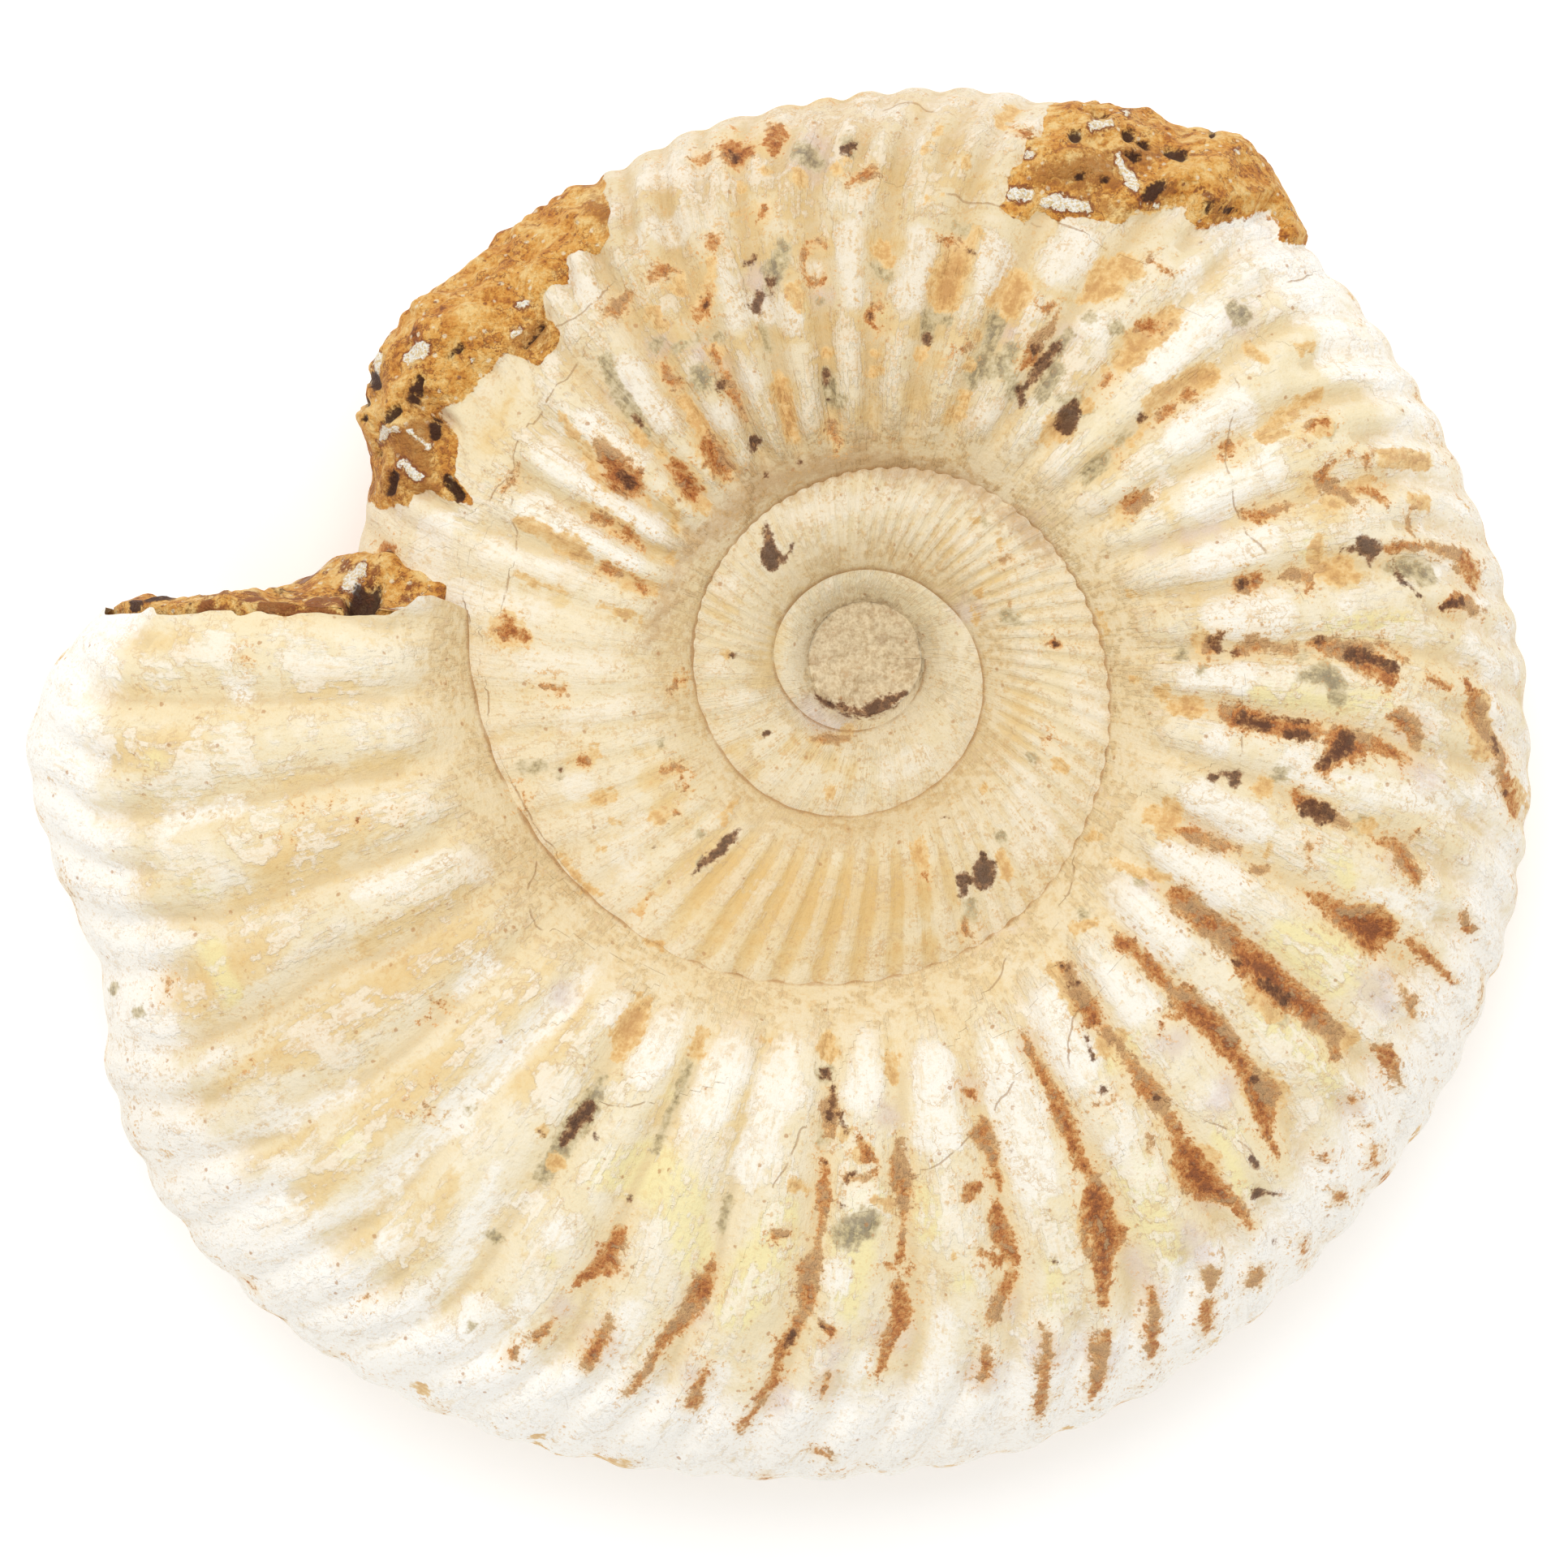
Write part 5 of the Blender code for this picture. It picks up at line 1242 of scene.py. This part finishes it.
def fossil_stone():
    """Ivory shell with chalky ribs, thin flaking layers, iron stains in its grooves and ochre rock on it,
    with painted light on the rim and painted shade in the groove bottoms, in the holes, on the top of the
    umbilical wall and where the key light falls strongest.
    """
    w = Wiring("fossil_stone")
    here = w.node("ShaderNodeTexCoord", {}).outputs["Object"]
    here = w.node("ShaderNodeVectorMath", {0: here, "Scale": 1 / MM}, operation="SCALE").outputs[0]
    grain = w.attribute("grain", "Vector")
    relief = w.attribute("relief")
    wide = w.noise(here, 12.0, 2.0)
    patchy = w.noise(here, 4.5, 5.0, 0.6, 0.4)
    middling = w.noise(here, 2.0, 4.0, 0.6)
    small = w.noise(here, 0.7, 4.0, 0.6)
    fine = w.noise(here, 0.24, 3.0, 0.6)
    streak = w.noise(w.stretched(grain, (0.55, 3.6, 2.4)), 1.0, 4.0, 0.6)

    def shown(kind, low, high, strength, *waves):
        """The depth in mm in a kind of mark, shifted by noise, and how strongly the mark shows there."""
        reach = WASH_REACH if kind in WASHES else STAIN_REACH
        depth = w.around(w.times(w.attribute(kind), reach), *waves)
        return depth, w.span(depth, low, high, 0.0, strength)

    # The shell's own colour
    colour = w.mix(w.span(w.around(wide, (middling, 1.0)), 0.35, 0.65), IVORY, CREAM)
    hollow = w.span(w.around(relief, (middling, 2.6), (small, 1.6), (streak, 1.2)), 0.4, -1.0)
    colour = w.mix(w.times(hollow, 0.5), colour, TAN_LEVELS[0][1])
    tan_depth, tan = shown("tan", -0.5, 0.5, 0.9, (patchy, 3.2), (small, 1.8), (streak, 1.6))
    colour = w.mix(tan, colour, w.ramp(w.around(tan_depth, (small, 2.0)), -1.0, 3.0, TAN_LEVELS))
    _, straw = shown("yellow", -0.6, 0.6, 0.85, (patchy, 4.0), (small, 1.6))
    colour = w.mix(straw, colour, STRAW)
    mottled = w.times(w.span(patchy, 0.42, 0.54), w.span(small, 0.44, 0.56))
    colour = w.mix(w.times(mottled, 0.6), colour, TAN_LEVELS[1][1])
    # Painted shade: a thin darker line along the bottom of each groove of the last whorl
    groove = w.around(w.times(w.attribute("groove"), GROOVE_REACH), (middling, 0.9), (small, 0.5))
    colour = w.mix(w.span(groove, 0.75, 0.05, 0.0, 0.55), colour, GROOVE_PAINTED_SHADE)
    chalk_level = w.around(w.times(relief, 0.07), (patchy, 1.0), (streak, 0.6), (small, 0.45))
    older = w.span(w.attribute("inner"), 0.0, 1.0)
    ridge = w.times(w.span(w.around(relief, (small, 1.8), (middling, 1.4)), 0.05, 0.45), older)
    colour = w.mix(w.times(ridge, w.span(tan, 0.0, 0.9, 0.6, 0.35)), colour, RIDGE_CREAM)
    chalk = w.times(w.span(chalk_level, 0.02, 0.14), w.span(older, 0.0, 1.0, 1.0, 0.35))
    colour = w.mix(w.times(chalk, 0.6), colour, CHALK)
    _, white = shown("white", -0.5, 0.4, 0.9, (patchy, 3.4), (small, 1.4), (streak, 1.6))
    white = w.times(white, w.span(w.around(small, (streak, 1.0)), 0.62, 0.46, 0.45, 1.0))
    white = w.times(white, w.span(older, 0.0, 1.0, 1.0, 0.45))
    colour = w.mix(white, colour, CHALK)
    # Umber patches on the shell, and painted shade on the top of the umbilical wall
    _, umber_and_wall_shade = shown("umber_and_wall_shade", -0.7, 1.2, 0.75, (patchy, 3.4), (small, 4.0), (fine, 1.6))
    wall = w.times(w.attribute("wall"), w.span(w.around(patchy, (small, 0.8)), 0.38, 0.60, 0.35, 1.0))
    colour = w.mix(wall, colour, WALL_TAN)
    walled = w.times(w.times(wall, w.span(patchy, 0.46, 0.56)), w.span(small, 0.50, 0.62))
    colour = w.mix(w.times(walled, 0.22), colour, SEAM_BROWN)
    colour = w.mix(w.times(umber_and_wall_shade, 0.65), colour, UMBER_AND_WALL_SHADE)
    # Painted light on the rim, whitened against its own shade
    rim = w.around(w.attribute("rim"), (patchy, 1.2), (small, 0.6))
    colour = w.mix(w.span(rim, 0.1, 0.7, 0.0, 0.92), colour, PAINTED_RIM_LIGHT_COLOUR)
    contour = w.math("ABSOLUTE", w.around(0.0, (patchy, 1.0), (small, 0.12)))
    contour = w.times(w.span(contour, 0.012, 0.004), w.span(wide, 0.42, 0.6))
    contour = w.times(contour, w.span(w.attribute("rim"), 0.0, 0.8, 0.6, 0.25))
    colour = w.mix(contour, colour, FLAKE_EDGE)
    colour = w.mix(w.span(streak, 0.56, 0.74, 0.0, 0.40), colour, TAN_LEVELS[1][1])
    colour = w.mix(w.span(fine, 0.54, 0.72, 0.0, 0.35), colour, TAN_LEVELS[1][1])
    # Painted shade: the shell is darkened by spiral angle, most where the key light falls strongest
    colour = w.mix(w.attribute("painted_shade_and_lace"), colour, PAINTED_SHADE_TINT, "MULTIPLY")
    # Tan lace, stronger where the painted shade is
    lacy = w.span(w.around(fine, (small, 0.9), (streak, 0.5)), 0.53, 0.66)
    lacy = w.times(lacy, w.span(middling, 0.40, 0.54))
    colour = w.mix(w.times(lacy, w.span(w.attribute("painted_shade_and_lace"), 0.05, 0.5, 0.1, 0.5)), colour, LACE_TAN)
    core_colour = w.ramp(w.around(0.5, (small, 1.6), (fine, 1.6)), 0.0, 1.0, CORE_LEVELS)
    core = w.around(w.attribute("core"), (middling, 1.0), (small, 0.6))
    colour = w.mix(w.span(core, 0.0, 0.3, 0.0, 0.85), colour, core_colour)

    # Stains
    _, violet = shown("violet", -1.0, 0.8, 0.55, (middling, 2.0), (small, 2.0))
    colour = w.mix(violet, colour, VIOLET_HAZE)
    grey_depth, grey = shown("grey", -0.25, 0.20, 0.85, (middling, 1.4), (small, 1.2), (streak, 0.8))
    grey_colour = w.ramp(w.around(grey_depth, (small, 3.0), (fine, 1.5)), -0.8, 1.4, GREY_LEVELS)
    colour = w.mix(grey, colour, grey_colour)
    ochre_depth, ochre = shown("ochre", -0.14, 0.14, 0.9, (middling, 1.4), (small, 1.3), (streak, 0.9))
    ochre_colour = w.ramp(w.around(ochre_depth, (small, 2.5), (fine, 1.5)), -0.6, 1.5, OCHRE_LEVELS)
    colour = w.mix(ochre, colour, ochre_colour)
    _, rust_haze = shown("rust", -0.9, 0.4, 0.5, (middling, 2.4), (small, 1.4))
    colour = w.mix(rust_haze, colour, OCHRE_LEVELS[0][1])
    rust_depth, rust = shown("rust", -0.12, 0.24, 0.95, (middling, 1.1), (small, 1.4), (fine, 0.7))
    rust_colour = w.ramp(w.around(rust_depth, (small, 2.4), (fine, 1.4)), -0.7, 1.7, RUST_LEVELS)
    rust_colour = w.mix(w.span(w.around(patchy, (small, 0.5)), 0.50, 0.58, 0.0, 0.6), rust_colour, RUST_TAN)
    crumbs = w.span(w.around(small, (fine, 0.8), (streak, 0.3)), 0.60, 0.66)
    crumbs = w.times(crumbs, w.span(rust_depth, -1.5, -0.5, 0.0, 0.75))
    colour = w.mix(w.math("MAXIMUM", rust, crumbs), colour, rust_colour)
    dark_depth, dark = shown("dark", -0.10, 0.22, 0.9, (middling, 0.8), (small, 0.9), (fine, 0.4))
    dark_colour = w.ramp(w.around(dark_depth, (small, 1.5), (fine, 1.2)), -0.4, 0.7, DARK_LEVELS)
    colour = w.mix(dark, colour, dark_colour)

    # Specks, seams and cracks
    specks = w.span(w.around(w.cells(here, 1.5), (fine, 0.2)), 0.15, 0.08)
    specks = w.times(specks, w.span(middling, 0.49, 0.55))
    colour = w.mix(w.times(specks, 0.7), colour, SPECK_BROWN)
    seam = w.around(w.times(w.attribute("seam"), LINE_REACH), (small, 0.8))
    seam = w.times(w.span(seam, 0.50, 0.18), w.span(patchy, 0.30, 0.48))
    colour = w.mix(w.times(seam, 0.75), colour, SEAM_BROWN)
    near_line = w.math("ABSOLUTE", w.around(w.attribute("crack"), (small, 0.15)))
    crack = w.times(w.span(near_line, 0.07, 0.02), w.span(middling, 0.42, 0.52))
    colour = w.mix(w.times(crack, 0.6), colour, CRACK_BROWN)

    # Rock
    rock = w.span(w.around(w.attribute("rock"), (small, 0.25)), 0.48, 0.52)
    rock_level = w.around(patchy, (middling, 1.1), (small, 0.9), (fine, 0.6))
    rock_colour = w.ramp(rock_level, 0.1, 1.0, ROCK_LEVELS)
    pale = w.span(w.around(w.cells(here, 1.15), (small, 0.4)), 0.20, 0.12, 0.0, 0.7)
    rock_colour = w.mix(pale, rock_colour, RIDGE_CREAM)
    spots = w.times(w.span(w.cells(here, 0.85), 0.26, 0.16), w.span(middling, 0.50, 0.58))
    rock_colour = w.mix(w.times(spots, 0.8), rock_colour, SPOT_RED)
    vein = w.math("ABSOLUTE", w.around(0.0, (middling, 1.0), (fine, 0.08)))
    vein = w.times(w.span(vein, 0.022, 0.008), w.span(patchy, 0.44, 0.54))
    rock_colour = w.mix(w.times(vein, 0.7), rock_colour, SPOT_RED)
    bit_depth, bit = shown("bit", -0.06, 0.06, 0.95, (middling, 1.0), (small, 1.1), (fine, 0.4))
    rock_colour = w.mix(umber_and_wall_shade, rock_colour, ROCK_UMBER)
    shadow_line = w.times(w.span(bit_depth, -0.35, -0.12), w.span(middling, 0.44, 0.54, 0.2, 0.9))
    rock_colour = w.mix(shadow_line, rock_colour, SPOT_RED)
    rock_colour = w.mix(bit, rock_colour, w.mix(w.span(fine, 0.44, 0.62), SHELL_WHITE, TAN_LEVELS[1][1]))
    # Painted shade: the holes in the rock are painted near-black, as the shade inside them
    _, pore_shade = shown("hole", -0.14, 0.16, 0.94, (middling, 0.9), (small, 0.9), (fine, 0.3))
    rock_colour = w.mix(pore_shade, rock_colour, HOLE_PAINTED_SHADE)
    rock_colour = w.mix(w.times(w.math("MAXIMUM", dark, rust), 0.85), rock_colour, SPOT_RED)
    colour = w.mix(rock, colour, rock_colour)
    w.put(w.shader.inputs["Base Color"], colour)

    # Relief in mm
    height = w.around(0.0, (small, 0.14), (streak, 0.10), (fine, 0.06))
    height = w.math("ADD", height, w.times(w.math("MAXIMUM", chalk, white), 0.04))
    stained = w.math("MAXIMUM", rust, dark)
    height = w.math("ADD", height, w.times(stained, w.around(-0.05, (small, 0.5), (fine, 0.2))))
    height = w.math("SUBTRACT", height, w.times(crack, 0.04))
    rock_height = w.around(0.0, (small, 0.7), (fine, 0.25))
    height = w.node("ShaderNodeMix", {0: rock, 2: height, 3: rock_height}, data_type="FLOAT").outputs[0]
    bump = w.node("ShaderNodeBump", {"Strength": 1.0, "Distance": MM, "Height": height})
    w.put(w.shader.inputs["Normal"], bump.outputs[0])
    w.shader.inputs["Roughness"].default_value = 0.7
    w.shader.inputs["Specular IOR Level"].default_value = 0.3
    return w.material


def floor_material():
    material = bpy.data.materials.new("floor_paper")
    material.use_nodes = True
    shader = material.node_tree.nodes["Principled BSDF"]
    shader.inputs["Base Color"].default_value = FLOOR_WHITE
    shader.inputs["Roughness"].default_value = 0.9
    shader.inputs["Emission Color"].default_value = (1.0, 1.0, 1.0, 1.0)
    shader.inputs["Emission Strength"].default_value = FLOOR_GLOW
    return material


# ---------------------------------------------------------------- the stage

FLOOR_SIZE = 3.0
VIEW_WIDTH = 125.39 * MM
VIEW_CENTRE = (0.25 * MM, 0.03 * MM)
VIEW_HEIGHT = 15 * MM
CAMERA_DISTANCE = 0.6
KEY_PLACE = (-0.10, 0.42, 0.85)
KEY_SIZE = 0.7
KEY_POWER = 4.0
SKY_STRENGTH = 0.84


def make_floor():
    bpy.ops.mesh.primitive_plane_add(size=FLOOR_SIZE)
    floor = bpy.context.object
    floor.name = "floor"
    floor.data.materials.append(floor_material())


def make_lights():
    key = bpy.data.lights.new("key", "AREA")
    key.size = KEY_SIZE
    key.energy = KEY_POWER
    lamp = bpy.data.objects.new("key", key)
    lamp.location = KEY_PLACE
    lamp.rotation_euler = (-Vector(KEY_PLACE)).to_track_quat("-Z", "Y").to_euler()
    bpy.context.scene.collection.objects.link(lamp)
    world = bpy.data.worlds.new("studio")
    world.use_nodes = True
    sky = world.node_tree.nodes["Background"]
    sky.inputs["Color"].default_value = (1.0, 1.0, 1.0, 1.0)
    sky.inputs["Strength"].default_value = SKY_STRENGTH
    bpy.context.scene.world = world
    bpy.context.scene.view_settings.view_transform = "Standard"


def make_camera():
    data = bpy.data.cameras.new("camera")
    data.sensor_width = 36
    data.lens = 36 * CAMERA_DISTANCE / VIEW_WIDTH
    camera = bpy.data.objects.new("camera", data)
    camera.location = (*VIEW_CENTRE, VIEW_HEIGHT + CAMERA_DISTANCE)
    bpy.context.scene.collection.objects.link(camera)
    bpy.context.scene.camera = camera


def main():
    make_camera()
    make_lights()
    make_floor()
    stone = fossil_stone()
    last_whorl(stone)
    older_whorls(stone)
    core(stone)
    mouth_rock(stone)


main()
